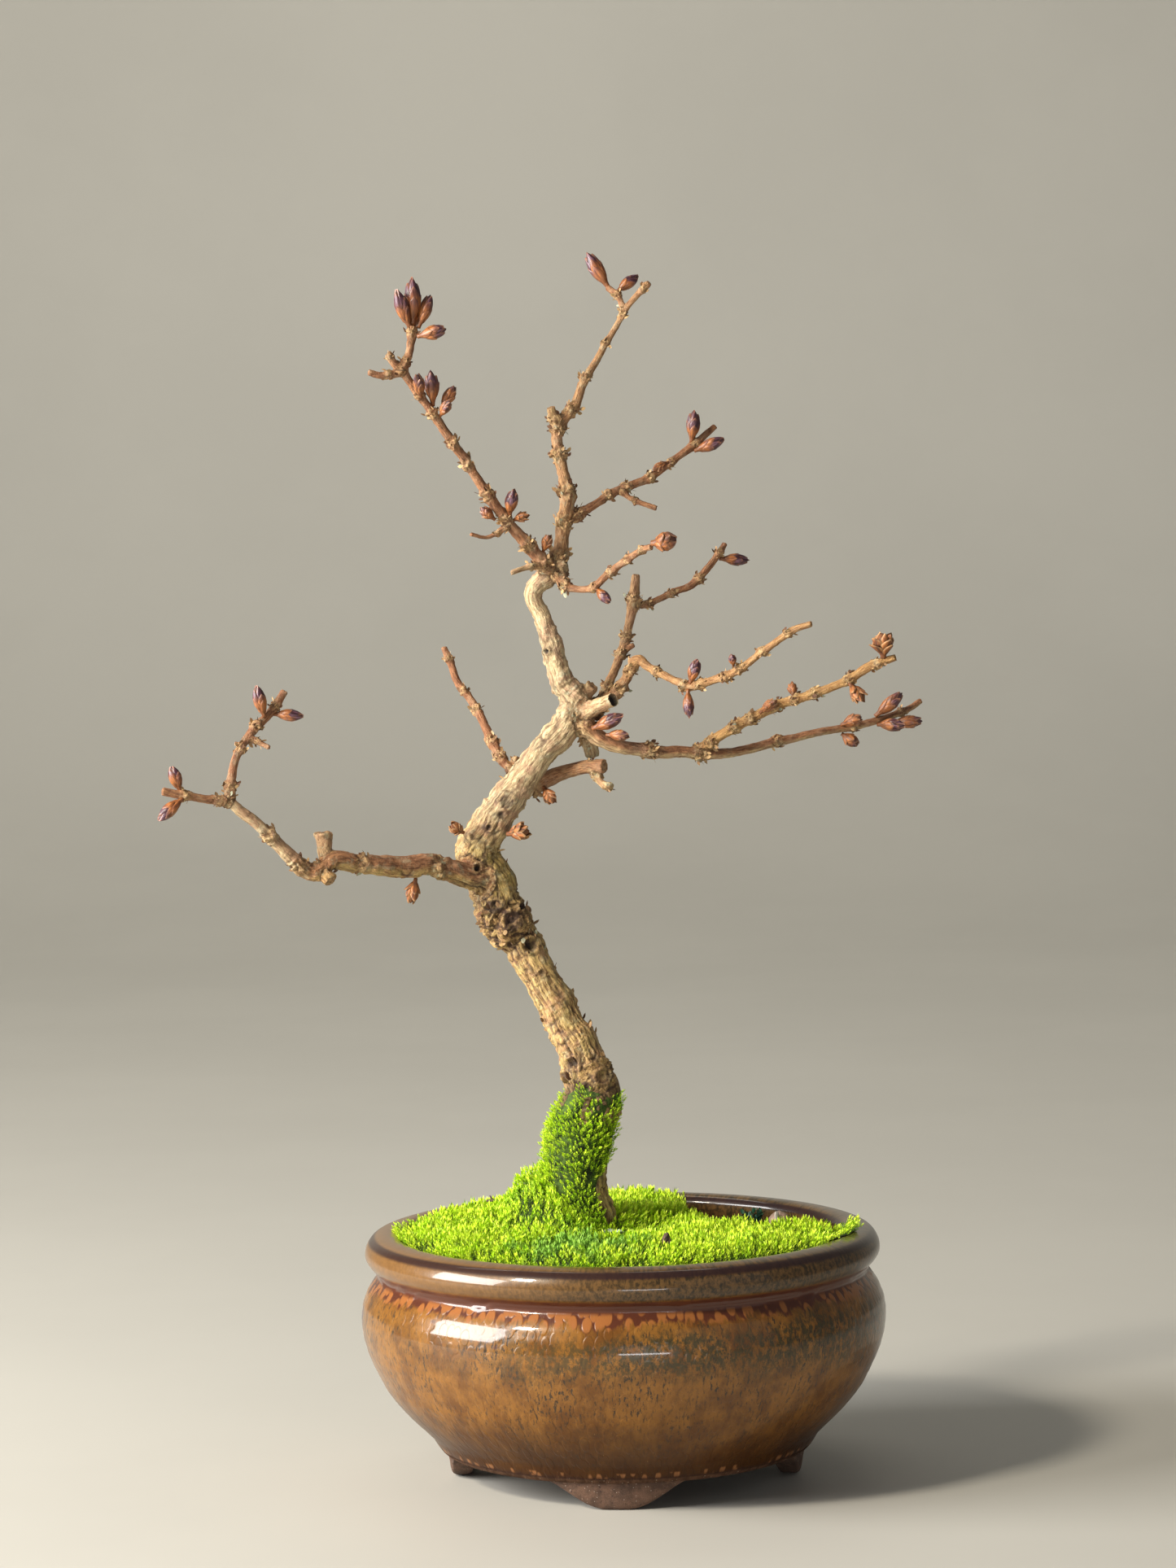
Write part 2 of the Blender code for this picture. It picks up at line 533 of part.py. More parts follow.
def make_tree(material):
    """Trunk, branches, stubs and buried roots, which grew as one piece."""
    tree = new_object("trunk_and_branches", *tube_solid(from_rim(TRUNK), TRUNK_SIDES), material)
    tubes = [tube_solid(from_rim(root_route(angle)), ROOT_SIDES) for angle in ROOT_ANGLES]
    tubes += [tube_solid(from_rim(route), BIG_SIDES) for route in BIG_BRANCHES.values()]
    tubes += [tube_solid(from_rim(route), TWIG_SIDES, 1) for route in TWIGS.values()]
    add_boolean(tree, make_helper(joined_tubes("branch_shapes", tubes, material)), "UNION", True)
    return tree


def make_root_cutter(material):
    """The buried wood with a clearance all round, which soil and moss are cut with."""
    foot = from_rim(TRUNK[: TRUNK_BURIED_POINTS + 1])
    roots = [from_rim(root_route(angle)) for angle in ROOT_ANGLES]
    tubes = [tube_solid(foot, TRUNK_SIDES, extra=ROOT_CLEARANCE)]
    tubes += [tube_solid(root, ROOT_SIDES, extra=ROOT_CLEARANCE) for root in roots]
    return make_helper(joined_tubes("root_clearance", tubes, material))


def trunk_at(height):
    """The trunk's (x, y, radius) at a height in its lower part."""
    path = smooth_route(from_rim(TRUNK[: TRUNK_BURIED_POINTS + 2]), ROUTE_STEPS)
    for a, b in zip(path, path[1:]):
        if a[2] <= height <= b[2]:
            point = a.lerp(b, (height - a[2]) / (b[2] - a[2]))
            return point[0], point[1], point[3]
    return path[-1][0], path[-1][1], path[-1][3]


# --------------------------------------------------------------------------------------- buds


def wood_segments():
    routes = [smooth_route(from_rim(TRUNK), ROUTE_STEPS)]
    routes += [smooth_route(from_rim(route), ROUTE_STEPS) for route in BIG_BRANCHES.values()]
    routes += [smooth_route(from_rim(route), 1) for route in TWIGS.values()]
    return [pair for route in routes for pair in zip(route, route[1:])]


def wood_clearance(points, segments):
    """The least distance from any of the points to the wood's surface."""
    least = math.inf
    for point in points:
        for start, end in segments:
            a, b = Vector(start[:3]), Vector(end[:3])
            along = (b - a).dot(point - a) / (b - a).length_squared
            t = min(1.0, max(0.0, along))
            distance = (point - a.lerp(b, t)).length - lerp(start[3], end[3], t)
            least = min(least, distance)
    return least


def bud_solid(base, tip, radius):
    axis = tip - base
    across = axis.normalized().orthogonal().normalized()
    other = axis.normalized().cross(across)
    points, faces = [], []
    for along, share in BUD_PROFILE:
        for i in range(BUD_SIDES):
            angle = math.tau * i / BUD_SIDES
            spoke = across * math.cos(angle) + other * math.sin(angle)
            points.append(base + axis * along + spoke * radius * share)
    for ring in range(len(BUD_PROFILE) - 1):
        for i in range(BUD_SIDES):
            a, b = ring * BUD_SIDES + i, ring * BUD_SIDES + (i + 1) % BUD_SIDES
            faces.append((a, b, b + BUD_SIDES, a + BUD_SIDES))
    faces.append(tuple(reversed(range(BUD_SIDES))))
    points.append(tip)
    first = len(points) - 1 - BUD_SIDES
    for i in range(BUD_SIDES):
        faces.append((first + i, first + (i + 1) % BUD_SIDES, len(points) - 1))
    return points, faces


def make_buds(material):
    segments = wood_segments()
    made = []
    for name, (base, tip, radius) in BUDS.items():
        level = Vector((0, 0, RIM_HEIGHT))
        base, tip = Vector(base) + level, Vector(tip) + level
        near = [pair for pair in segments if (Vector(pair[0][:3]) - base).length < 30]
        step = (tip - base).normalized() * 0.1
        points, faces = bud_solid(base, tip, radius)
        while wood_clearance(points, near) < GAP:
            base, tip = base + step, tip + step
            points, faces = bud_solid(base, tip, radius)
        made.append(new_object(name, points, faces, material))
    return made


# ------------------------------------------------------------------------------ soil and moss

PATCH_RINGS = 6
PATCH_SEGMENTS = 32


def trunk_nearness(x, y):
    """1 at the trunk, falling to 0 at the pot's mouth."""
    reach = MOUTH_RADIUS - abs(TRUNK_BASE_X)
    return 1 - smooth_step(math.hypot(x - TRUNK_BASE_X, y) / reach)


def soil_top(x, y):
    return RIM_HEIGHT - SOIL_DROP + SOIL_RISE * trunk_nearness(x, y)


def moss_top(x, y):
    mound_x = x - TRUNK_BASE_X - MOUND_OFFSET[0]
    mound_y = y - MOUND_OFFSET[1]
    mound = MOSS_MOUND * math.exp(-(mound_x ** 2 + mound_y ** 2) / MOUND_SPREAD ** 2)
    ripple = 0.5 * math.sin(x / 7.0 + 1.0) * math.cos(y / 6.0)
    edge = smooth_step((MOUTH_RADIUS - math.hypot(x, y)) / MOSS_EDGE_WIDTH)
    dome = MOSS_EDGE_RISE + MOSS_EDGE_DOME * edge
    dome += (MOSS_RISE - MOSS_EDGE_DOME) * trunk_nearness(x, y)
    return RIM_HEIGHT + dome + mound + ripple * edge


def moss_edge(angle):
    """The carpet's outer radius, drawn back at the bare watering gap."""
    turn = math.remainder(angle - WATERING_GAP_ANGLE, math.tau)
    drawn_back = WATERING_GAP_DEPTH * math.exp(-(turn / WATERING_GAP_SPREAD) ** 4)
    return MOUTH_RADIUS - 2 * GAP - drawn_back


def disc_layer(edge, height):
    """Points of a round patch: its middle, then rings out to edge(angle), at height(x, y)."""
    points = [(0, 0, height(0, 0))]
    for ring in range(1, PATCH_RINGS + 1):
        for i in range(PATCH_SEGMENTS):
            angle = math.tau * i / PATCH_SEGMENTS
            radius = edge(angle) * ring / PATCH_RINGS
            x, y = radius * math.cos(angle), radius * math.sin(angle)
            points.append((x, y, height(x, y)))
    return points


def disc_faces(first):
    faces = []
    for i in range(PATCH_SEGMENTS):
        j = (i + 1) % PATCH_SEGMENTS
        faces.append((first, first + 1 + i, first + 1 + j))
        for ring in range(PATCH_RINGS - 1):
            a = first + 1 + ring * PATCH_SEGMENTS
            b = a + PATCH_SEGMENTS
            faces.append((a + i, b + i, b + j, a + j))
    return faces


def stacked_rings(first, second):
    """Faces between two rings of points that start at these indices."""
    faces = []
    for i in range(PATCH_SEGMENTS):
        j = (i + 1) % PATCH_SEGMENTS
        faces.append((first + i, first + j, second + j, second + i))
    return faces


def make_moss_carpet(material, cutter):
    top = disc_layer(moss_edge, moss_top)
    bottom = disc_layer(moss_edge, lambda x, y: soil_top(x, y) + GAP)
    rim = len(top) - PATCH_SEGMENTS
    faces = disc_faces(0) + disc_faces(len(top)) + stacked_rings(rim, len(top) + rim)
    carpet = new_object("moss_carpet", top + bottom, faces, material)
    add_boolean(carpet, cutter, "DIFFERENCE", True)
    return carpet


def make_soil(material, cutter):
    """Soil filling the pot, with a recess over the drain cover and a pocket for the wood."""
    corner = math.cos(math.pi / PATCH_SEGMENTS)
    clearance = 2 * GAP

    def side_radius(height):
        return (inner_wall_radius(height) - clearance) * corner

    edge = RIM_HEIGHT - SOIL_DROP
    top = disc_layer(lambda angle: side_radius(edge), soil_top)
    points, faces = list(top), disc_faces(0)
    previous = len(top) - PATCH_SEGMENTS
    half_mesh = MESH_CELL * MESH_CELLS / 2
    recess = half_mesh * math.sqrt(2) + 4 * GAP
    low = FLOOR_TOP + GAP
    over_mesh = low + MESH_THICKNESS + GAP
    rings = [(side_radius(z), z) for radius, z in inner_wall() if low < z < edge]
    rings += [(side_radius(low), low), (recess, low), (recess, over_mesh)]
    for radius, height in rings:
        first = len(points)
        for i in range(PATCH_SEGMENTS):
            angle = math.tau * i / PATCH_SEGMENTS
            points.append((radius * math.cos(angle), radius * math.sin(angle), height))
        faces += stacked_rings(previous, first)
        previous = first
    points.append((0, 0, over_mesh))
    for i in range(PATCH_SEGMENTS):
        faces.append((previous + (i + 1) % PATCH_SEGMENTS, previous + i, len(points) - 1))
    soil = new_object("soil", points, faces, material)
    add_boolean(soil, cutter, "DIFFERENCE", True)
    reach = 2 * MESH_CELL + WIRE_RADIUS + GAP
    slot_top = over_mesh + 2 * WIRE_RADIUS + GAP
    slot = box_solid((-reach, -WIRE_RADIUS - GAP, low - 1), (reach, WIRE_RADIUS + GAP, slot_top))
    add_boolean(soil, make_helper(new_object("staple_slot", *slot, material)), "DIFFERENCE")
    return soil


def make_trunk_moss(material):
    """Moss climbing the trunk's foot as a bent slab, open at the back right."""
    rows, columns = 7, 14
    top = RIM_HEIGHT + SLEEVE_TOP
    inside, outside = [], []
    for row in range(rows + 1):
        climb = row / rows
        for column in range(columns + 1):
            angle = lerp(SLEEVE_START, lerp(*SLEEVE_ENDS, climb), column / columns)
            spoke = Vector((math.cos(angle), math.sin(angle), 0))
            facing = 0.5 + 0.5 * math.cos(angle - SLEEVE_THICKEST)
            foot_x, foot_y, foot_radius = trunk_at(moss_top(TRUNK_BASE_X, 0))
            foot = Vector((foot_x, foot_y, 0)) + spoke * foot_radius
            flare = SLEEVE_FLARE * (1 - climb) ** 2
            thickness = (SLEEVE_THICKNESS + flare) * (0.45 + 0.55 * facing)
            thickness *= math.sqrt(1 - 0.75 * climb ** 4)
            out = foot + spoke * (SLEEVE_THICKNESS + SLEEVE_FLARE)
            low = max(moss_top(foot.x, foot.y), moss_top(out.x, out.y)) + GAP
            height = lerp(low, top - SLEEVE_SLANT * (1 - facing), climb)
            x, y, radius = trunk_at(height)
            axis = Vector((x, y, height))
            inside.append(axis + spoke * (radius + 2 * GAP))
            outside.append(axis + spoke * (radius + 2 * GAP + thickness))
    layer = len(inside)
    width = columns + 1
    faces = []
    for row in range(rows):
        for column in range(columns):
            a = row * width + column
            face = (a, a + 1, a + 1 + width, a + width)
            faces += [face, tuple(corner + layer for corner in reversed(face))]
    edge = [(i, i + 1) for i in range(columns)]
    edge += [(rows * width + i, rows * width + i + 1) for i in range(columns)]
    edge += [(row * width, (row + 1) * width) for row in range(rows)]
    edge += [(row * width + columns, (row + 1) * width + columns) for row in range(rows)]
    faces += [(a, b, b + layer, a + layer) for a, b in edge]
    return new_object("trunk_moss", inside + outside, faces, material)


# --------------------------------------------------------------------------------- loose bits


def lump_solid(size, sides=7):
    """A low rounded lump: a flat underside and two rings closing to a point."""
    levels = ((0.0, 0.8), (0.35, 1.0), (0.75, 0.7))
    points, faces = [], []
    for height, share in levels:
        for i in range(sides):
            angle = math.tau * i / sides
            swell = share * (1 + 0.12 * math.sin(3 * angle + 5 * height))
            x, y = size[0] / 2 * swell * math.cos(angle), size[1] / 2 * swell * math.sin(angle)
            points.append((x, y, size[2] * height))
    for ring in range(len(levels) - 1):
        for i in range(sides):
            a, b = ring * sides + i, ring * sides + (i + 1) % sides
            faces.append((a, b, b + sides, a + sides))
    faces.append(tuple(reversed(range(sides))))
    points.append((0, 0, size[2]))
    first = len(points) - 1 - sides
    for i in range(sides):
        faces.append((first + i, first + (i + 1) % sides, len(points) - 1))
    return points, faces


def place_on(surface, place, size):
    """The least height at which a lump of this size clears the surface below it."""
    reach = 0.6 * max(size[0], size[1])  # a little over half its width
    around = [(place[0] + reach * dx, place[1] + reach * dy) for dx in (-1, 0, 1) for dy in (-1, 0, 1)]
    return max(surface(x, y) for x, y in around) + GAP


def make_bits(materials):
    surfaces = {"moss": moss_top, "soil": soil_top}
    made = []
    for name, (angle, inset, size, turn, ground) in BITS.items():
        angle, radius = math.radians(angle), MOUTH_RADIUS - inset
        place = (radius * math.cos(angle), radius * math.sin(angle))
        bit = new_object(name, *lump_solid(size), materials[name])
        bit.location = Vector((*place, place_on(surfaces[ground], place, size))) * MM
        bit.rotation_euler.z = math.radians(turn)
        made.append(bit)
    return made


def centre_on_origin(pieces):
    """Parents the pieces to one empty, shifted so that their box is centred on X = Y = 0."""
    bpy.context.view_layer.update()
    graph = bpy.context.evaluated_depsgraph_get()
    corners = []
    for piece in pieces:
        shown = piece.evaluated_get(graph)
        corners += [shown.matrix_world @ vertex.co for vertex in shown.data.vertices]
    middle = [(min(c[i] for c in corners) + max(c[i] for c in corners)) / 2 for i in (0, 1)]
    frame = bpy.data.objects.new("bonsai", None)
    bpy.context.scene.collection.objects.link(frame)
    for obj in [o for o in bpy.data.objects if o is not frame]:
        obj.parent = frame
    frame.location = (-middle[0], -middle[1], 0)
    print("pot axis at x, y (mm):", [round(-m / MM, 3) for m in middle])


def main():
    for obj in list(bpy.data.objects):
        bpy.data.objects.remove(obj)
    glaze = make_material("amber_glaze", (0.36, 0.17, 0.045), 0.22)
    bark = make_material("bark", (0.50, 0.33, 0.17), 0.75)
    bud_scale = make_material("bud_scale", (0.36, 0.13, 0.07), 0.5)
    moss = make_material("moss", (0.28, 0.50, 0.02), 0.85)
    soil = make_material("soil", (0.07, 0.05, 0.035), 0.95)
    net = make_material("black_net", (0.03, 0.03, 0.03), 0.6)
    wire = make_material("aluminium_wire", (0.55, 0.52, 0.48), 0.35, 1.0)
    bits = {
        "lichen_tuft": make_material("lichen", (0.42, 0.50, 0.36), 0.9),
        "bark_chip": make_material("dark_chip", (0.06, 0.035, 0.02), 0.8),
        "fallen_twig": make_material("dark_twig", (0.12, 0.07, 0.04), 0.8),
        "pebble": make_material("pebble", (0.38, 0.26, 0.18), 0.7),
        "moss_seedling": make_material("seedling", (0.03, 0.16, 0.05), 0.7),
    }
    cutter = make_root_cutter(bark)
    pieces = [make_pot(glaze), make_drain_mesh(net), make_drain_wire(wire)]
    pieces += [make_soil(soil, cutter), make_moss_carpet(moss, cutter), make_trunk_moss(moss)]
    pieces.append(make_tree(bark))
    pieces += make_buds(bud_scale)
    pieces += make_bits(bits)
    centre_on_origin(pieces)


main()
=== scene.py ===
import math
import random

import bmesh
import bpy
import numpy as np
from mathutils import Matrix, Vector
from mathutils.kdtree import KDTree


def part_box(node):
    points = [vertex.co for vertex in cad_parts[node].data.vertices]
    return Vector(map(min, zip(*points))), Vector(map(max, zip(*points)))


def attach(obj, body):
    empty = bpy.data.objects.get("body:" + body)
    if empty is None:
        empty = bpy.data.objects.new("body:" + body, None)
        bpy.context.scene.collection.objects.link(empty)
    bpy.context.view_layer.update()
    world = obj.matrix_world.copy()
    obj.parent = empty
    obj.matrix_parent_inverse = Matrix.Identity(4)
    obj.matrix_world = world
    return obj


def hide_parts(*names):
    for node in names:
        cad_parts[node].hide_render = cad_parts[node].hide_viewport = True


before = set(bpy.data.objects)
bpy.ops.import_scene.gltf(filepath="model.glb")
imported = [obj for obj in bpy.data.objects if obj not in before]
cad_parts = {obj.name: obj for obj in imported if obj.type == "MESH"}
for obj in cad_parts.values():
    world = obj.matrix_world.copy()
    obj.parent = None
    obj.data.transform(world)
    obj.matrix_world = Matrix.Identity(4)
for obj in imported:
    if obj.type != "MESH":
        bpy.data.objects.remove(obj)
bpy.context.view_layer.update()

# Everything is worked out in millimetres from the pot's axis, and put in its place when a mesh is made.
mm = 0.001
potLow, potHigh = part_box("pot")
potAxis = np.array([(potLow.x + potHigh.x) / 2, (potLow.y + potHigh.y) / 2, 0.0])
rimLevel = potHigh.z / mm


def lerp(a, b, t):
    return a + (b - a) * t


def smoothStep(low, high, value):
    t = np.clip((value - low) / (high - low), 0.0, 1.0)
    return t * t * (3 - 2 * t)


def unit(vectors):
    lengths = np.linalg.norm(vectors, axis=-1, keepdims=True)
    return vectors / np.maximum(lengths, 1e-9)


# Smooth noise from -1 to 1 at each row of places
def noiseAt(places, seed=0):
    places = np.asarray(places, float)
    cell = np.floor(places).astype(np.int64)
    t = places - cell
    t = t * t * (3 - 2 * t)
    total = np.zeros(len(places))
    for corner in np.ndindex(2, 2, 2):
        key = cell + np.array(corner)
        mixed = (key[:, 0] * 73856093) ^ (key[:, 1] * 19349663) ^ (key[:, 2] * 83492791) ^ (seed * 2971215)
        mixed = ((mixed ^ (mixed >> 13)) * 1274126177) & 0x7FFFFFFF
        value = ((mixed ^ (mixed >> 16)) % 65536) / 32767.5 - 1
        total += value * np.prod(np.where(corner, t, 1 - t), axis=1)
    return total


def setAttribute(mesh, name, values):
    values = np.asarray(values, np.float32)
    if values.ndim == 1:
        mesh.attributes.new(name, "FLOAT", "POINT").data.foreach_set("value", values)
    else:
        mesh.attributes.new(name, "FLOAT_VECTOR", "POINT").data.foreach_set("vector", values.ravel())


# An object from points in millimetres, with its attributes and one material
def newPiece(name, points, faces, material, attributes=None, smooth=True):
    mesh = bpy.data.meshes.new(name)
    places = np.asarray(points, float) * mm + potAxis
    mesh.from_pydata(places.tolist(), [], [tuple(int(i) for i in face) for face in faces])
    for key, values in (attributes or {}).items():
        setAttribute(mesh, key, values)
    mesh.polygons.foreach_set("use_smooth", [smooth] * len(mesh.polygons))
    if material:
        mesh.materials.append(material)
    piece = bpy.data.objects.new(name, mesh)
    bpy.context.scene.collection.objects.link(piece)
    return piece


def turnOutwards(piece):
    shape = bmesh.new()
    shape.from_mesh(piece.data)
    bmesh.ops.recalc_face_normals(shape, faces=shape.faces)
    shape.to_mesh(piece.data)
    shape.free()
    return piece


def keepPiece(piece, slot, *nodes):
    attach(piece, "root")
    if nodes:
        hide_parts(*nodes)
    piece.data.calc_loop_triangles()
    return len(piece.data.loop_triangles)


# Faces of a grid of points, row after row; closed joins the last column to the first
def gridFaces(rows, columns, closed=False):
    faces = []
    for row in range(rows - 1):
        for column in range(columns if closed else columns - 1):
            following = (column + 1) % columns
            a, b = row * columns + column, row * columns + following
            faces.append((a, b, b + columns, a + columns))
    return faces


# Several lists of (points, faces) as one
def joined(parts):
    points, faces, first = [], [], 0
    for partPoints, partFaces in parts:
        points.append(np.asarray(partPoints, float))
        faces += [tuple(corner + first for corner in face) for face in partFaces]
        first += len(partPoints)
    return np.vstack(points), faces


def addNode(tree, kind, inputs=None, **settings):
    made = tree.nodes.new(kind)
    for key, value in settings.items():
        setattr(made, key, value)
    for key, value in (inputs or {}).items():
        socket = made.inputs[key]
        if isinstance(value, bpy.types.NodeSocket):
            tree.links.new(value, socket)
        else:
            socket.default_value = value
    return made


def calc(tree, operation, *values, clamp=False):
    return addNode(tree, "ShaderNodeMath", dict(enumerate(values)), operation=operation, use_clamp=clamp).outputs[0]


def times(tree, a, b):
    return calc(tree, "MULTIPLY", a, b)


def timesPlus(tree, a, b, c):
    return calc(tree, "MULTIPLY_ADD", a, b, c)


def rangeOf(tree, value, low, high, outLow=0.0, outHigh=1.0, smooth=True):
    kind = "SMOOTHSTEP" if smooth else "LINEAR"
    inputs = {"Value": value, "From Min": low, "From Max": high, "To Min": outLow, "To Max": outHigh}
    return addNode(tree, "ShaderNodeMapRange", inputs, interpolation_type=kind).outputs[0]


# A plain colour with its alpha; a socket is left as it is
def rgba(colour):
    return (*colour, 1.0) if isinstance(colour, tuple) else colour


def blend(tree, factor, a, b, kind="MIX"):
    inputs = {0: factor, 6: rgba(a), 7: rgba(b)}
    return addNode(tree, "ShaderNodeMix", inputs, data_type="RGBA", blend_type=kind).outputs[2]


def stretched(tree, vector, scale):
    return addNode(tree, "ShaderNodeVectorMath", {0: vector, 1: scale}, operation="MULTIPLY").outputs[0]


def noiseOf(tree, vector, scale, detail=3.0, roughness=0.55):
    inputs = {"Vector": vector, "Scale": scale, "Detail": detail, "Roughness": roughness}
    return addNode(tree, "ShaderNodeTexNoise", inputs).outputs[0]


def cellsOf(tree, vector, scale):
    return addNode(tree, "ShaderNodeTexVoronoi", {"Vector": vector, "Scale": scale}).outputs["Distance"]


def attributeOf(tree, name, output="Fac"):
    return addNode(tree, "ShaderNodeAttribute", attribute_name=name).outputs[output]


def bumpOf(tree, height, strength, distance):
    return addNode(tree, "ShaderNodeBump", {"Height": height, "Strength": strength, "Distance": distance}).outputs[0]


def placeOf(tree):
    return addNode(tree, "ShaderNodeTexCoord").outputs["Object"]


# A material with its Principled shader and output; the shader's plain values are given here
def newMaterial(name, **plain):
    material = bpy.data.materials.new(name)
    material.use_nodes = True
    tree = material.node_tree
    tree.nodes.clear()
    shader = addNode(tree, "ShaderNodeBsdfPrincipled", {key.replace("_", " "): value for key, value in plain.items()})
    output = addNode(tree, "ShaderNodeOutputMaterial")
    tree.links.new(shader.outputs[0], output.inputs[0])
    return material, tree, shader


def wire(tree, shader, **sockets):
    for key, value in sockets.items():
        tree.links.new(value, shader.inputs[key.replace("_", " ")])


# Wires a colour and a bump whose depth is in millimetres, and gives the material back
def finished(material, tree, shader, colour, height, strength, depth):
    wire(tree, shader, Base_Color=colour, Normal=bumpOf(tree, height, strength, depth * mm))
    return material


def newGroup(name, inputs, outputs):
    group = bpy.data.node_groups.new(name, "ShaderNodeTree")
    for label, kind, value in inputs:
        socket = group.interface.new_socket(label, in_out="INPUT", socket_type=kind)
        if value is not None:
            socket.default_value = value
    for label, kind in outputs:
        group.interface.new_socket(label, in_out="OUTPUT", socket_type=kind)
    return group, addNode(group, "NodeGroupInput"), addNode(group, "NodeGroupOutput")


# Dots scattered over a surface: 1 inside a dot, with only a share of the cells having one
def makeSpeckleGroup():
    inputs = [
        ("Vector", "NodeSocketVector", None), ("Scale", "NodeSocketFloat", 1000.0),
        ("Share", "NodeSocketFloat", 0.5), ("Size", "NodeSocketFloat", 0.3),
    ]
    group, given, out = newGroup("speckle", inputs, [("Mask", "NodeSocketFloat")])
    cells = addNode(group, "ShaderNodeTexVoronoi", {"Vector": given.outputs[0], "Scale": given.outputs[1]})
    inside = calc(group, "SUBTRACT", given.outputs["Size"], cells.outputs["Distance"])
    inside = rangeOf(group, inside, 0.0, 0.12)
    parted = addNode(group, "ShaderNodeSeparateColor", {0: cells.outputs["Color"]}).outputs[0]
    chosen = calc(group, "LESS_THAN", parted, given.outputs["Share"])
    group.links.new(times(group, inside, chosen), out.inputs[0])
    return group


# Soft uneven tone, for handling, dust and weather
def makeMottleGroup():
    inputs = [
        ("Vector", "NodeSocketVector", None), ("Scale", "NodeSocketFloat", 60.0),
        ("Colour", "NodeSocketColor", rgba((0.5, 0.5, 0.5))), ("Strength", "NodeSocketFloat", 0.3),
    ]
    group, given, out = newGroup("mottle", inputs, [("Colour", "NodeSocketColor")])
    tone = noiseOf(group, given.outputs[0], given.outputs[1], 5.0, 0.6)
    dark = addNode(group, "ShaderNodeHueSaturation", {"Color": given.outputs[2], "Value": 0.45})
    light = addNode(group, "ShaderNodeHueSaturation", {"Color": given.outputs[2], "Value": 1.5})
    swing = blend(group, rangeOf(group, tone, 0.35, 0.65), dark.outputs[0], light.outputs[0])
    group.links.new(blend(group, given.outputs[3], given.outputs[2], swing), out.inputs[0])
    return group


# Long fibres along the third axis of the given place, with their height for a bump
def makeGrainGroup():
    inputs = [("Vector", "NodeSocketVector", None), ("Width", "NodeSocketFloat", 1.0)]
    group, given, out = newGroup("grain", inputs, [("Streak", "NodeSocketFloat"), ("Height", "NodeSocketFloat")])
    along = stretched(group, given.outputs[0], (1.0, 1.0, 0.16))
    wide = noiseOf(group, along, calc(group, "DIVIDE", 1.1, given.outputs[1]), 4.0, 0.6)
    fine = noiseOf(group, along, calc(group, "DIVIDE", 3.4, given.outputs[1]), 3.0, 0.6)
    crossing = noiseOf(group, given.outputs[0], calc(group, "DIVIDE", 2.2, given.outputs[1]), 4.0, 0.65)
    streak = timesPlus(group, fine, 0.5, times(group, wide, 0.5))
    group.links.new(streak, out.inputs[0])
    group.links.new(timesPlus(group, crossing, 0.35, times(group, streak, 0.65)), out.inputs[1])
    return group


speckleGroup = makeSpeckleGroup()
mottleGroup = makeMottleGroup()
grainGroup = makeGrainGroup()


def grouped(tree, group, *values):
    return addNode(tree, "ShaderNodeGroup", dict(enumerate(values)), node_tree=group).outputs


def speckle(tree, vector, scale, share, size):
    return grouped(tree, speckleGroup, vector, scale, share, size)[0]


def mottle(tree, vector, scale, colour, strength):
    return grouped(tree, mottleGroup, vector, scale, rgba(colour), strength)[0]


def grain(tree, vector, width):
    return grouped(tree, grainGroup, vector, width)[:2]


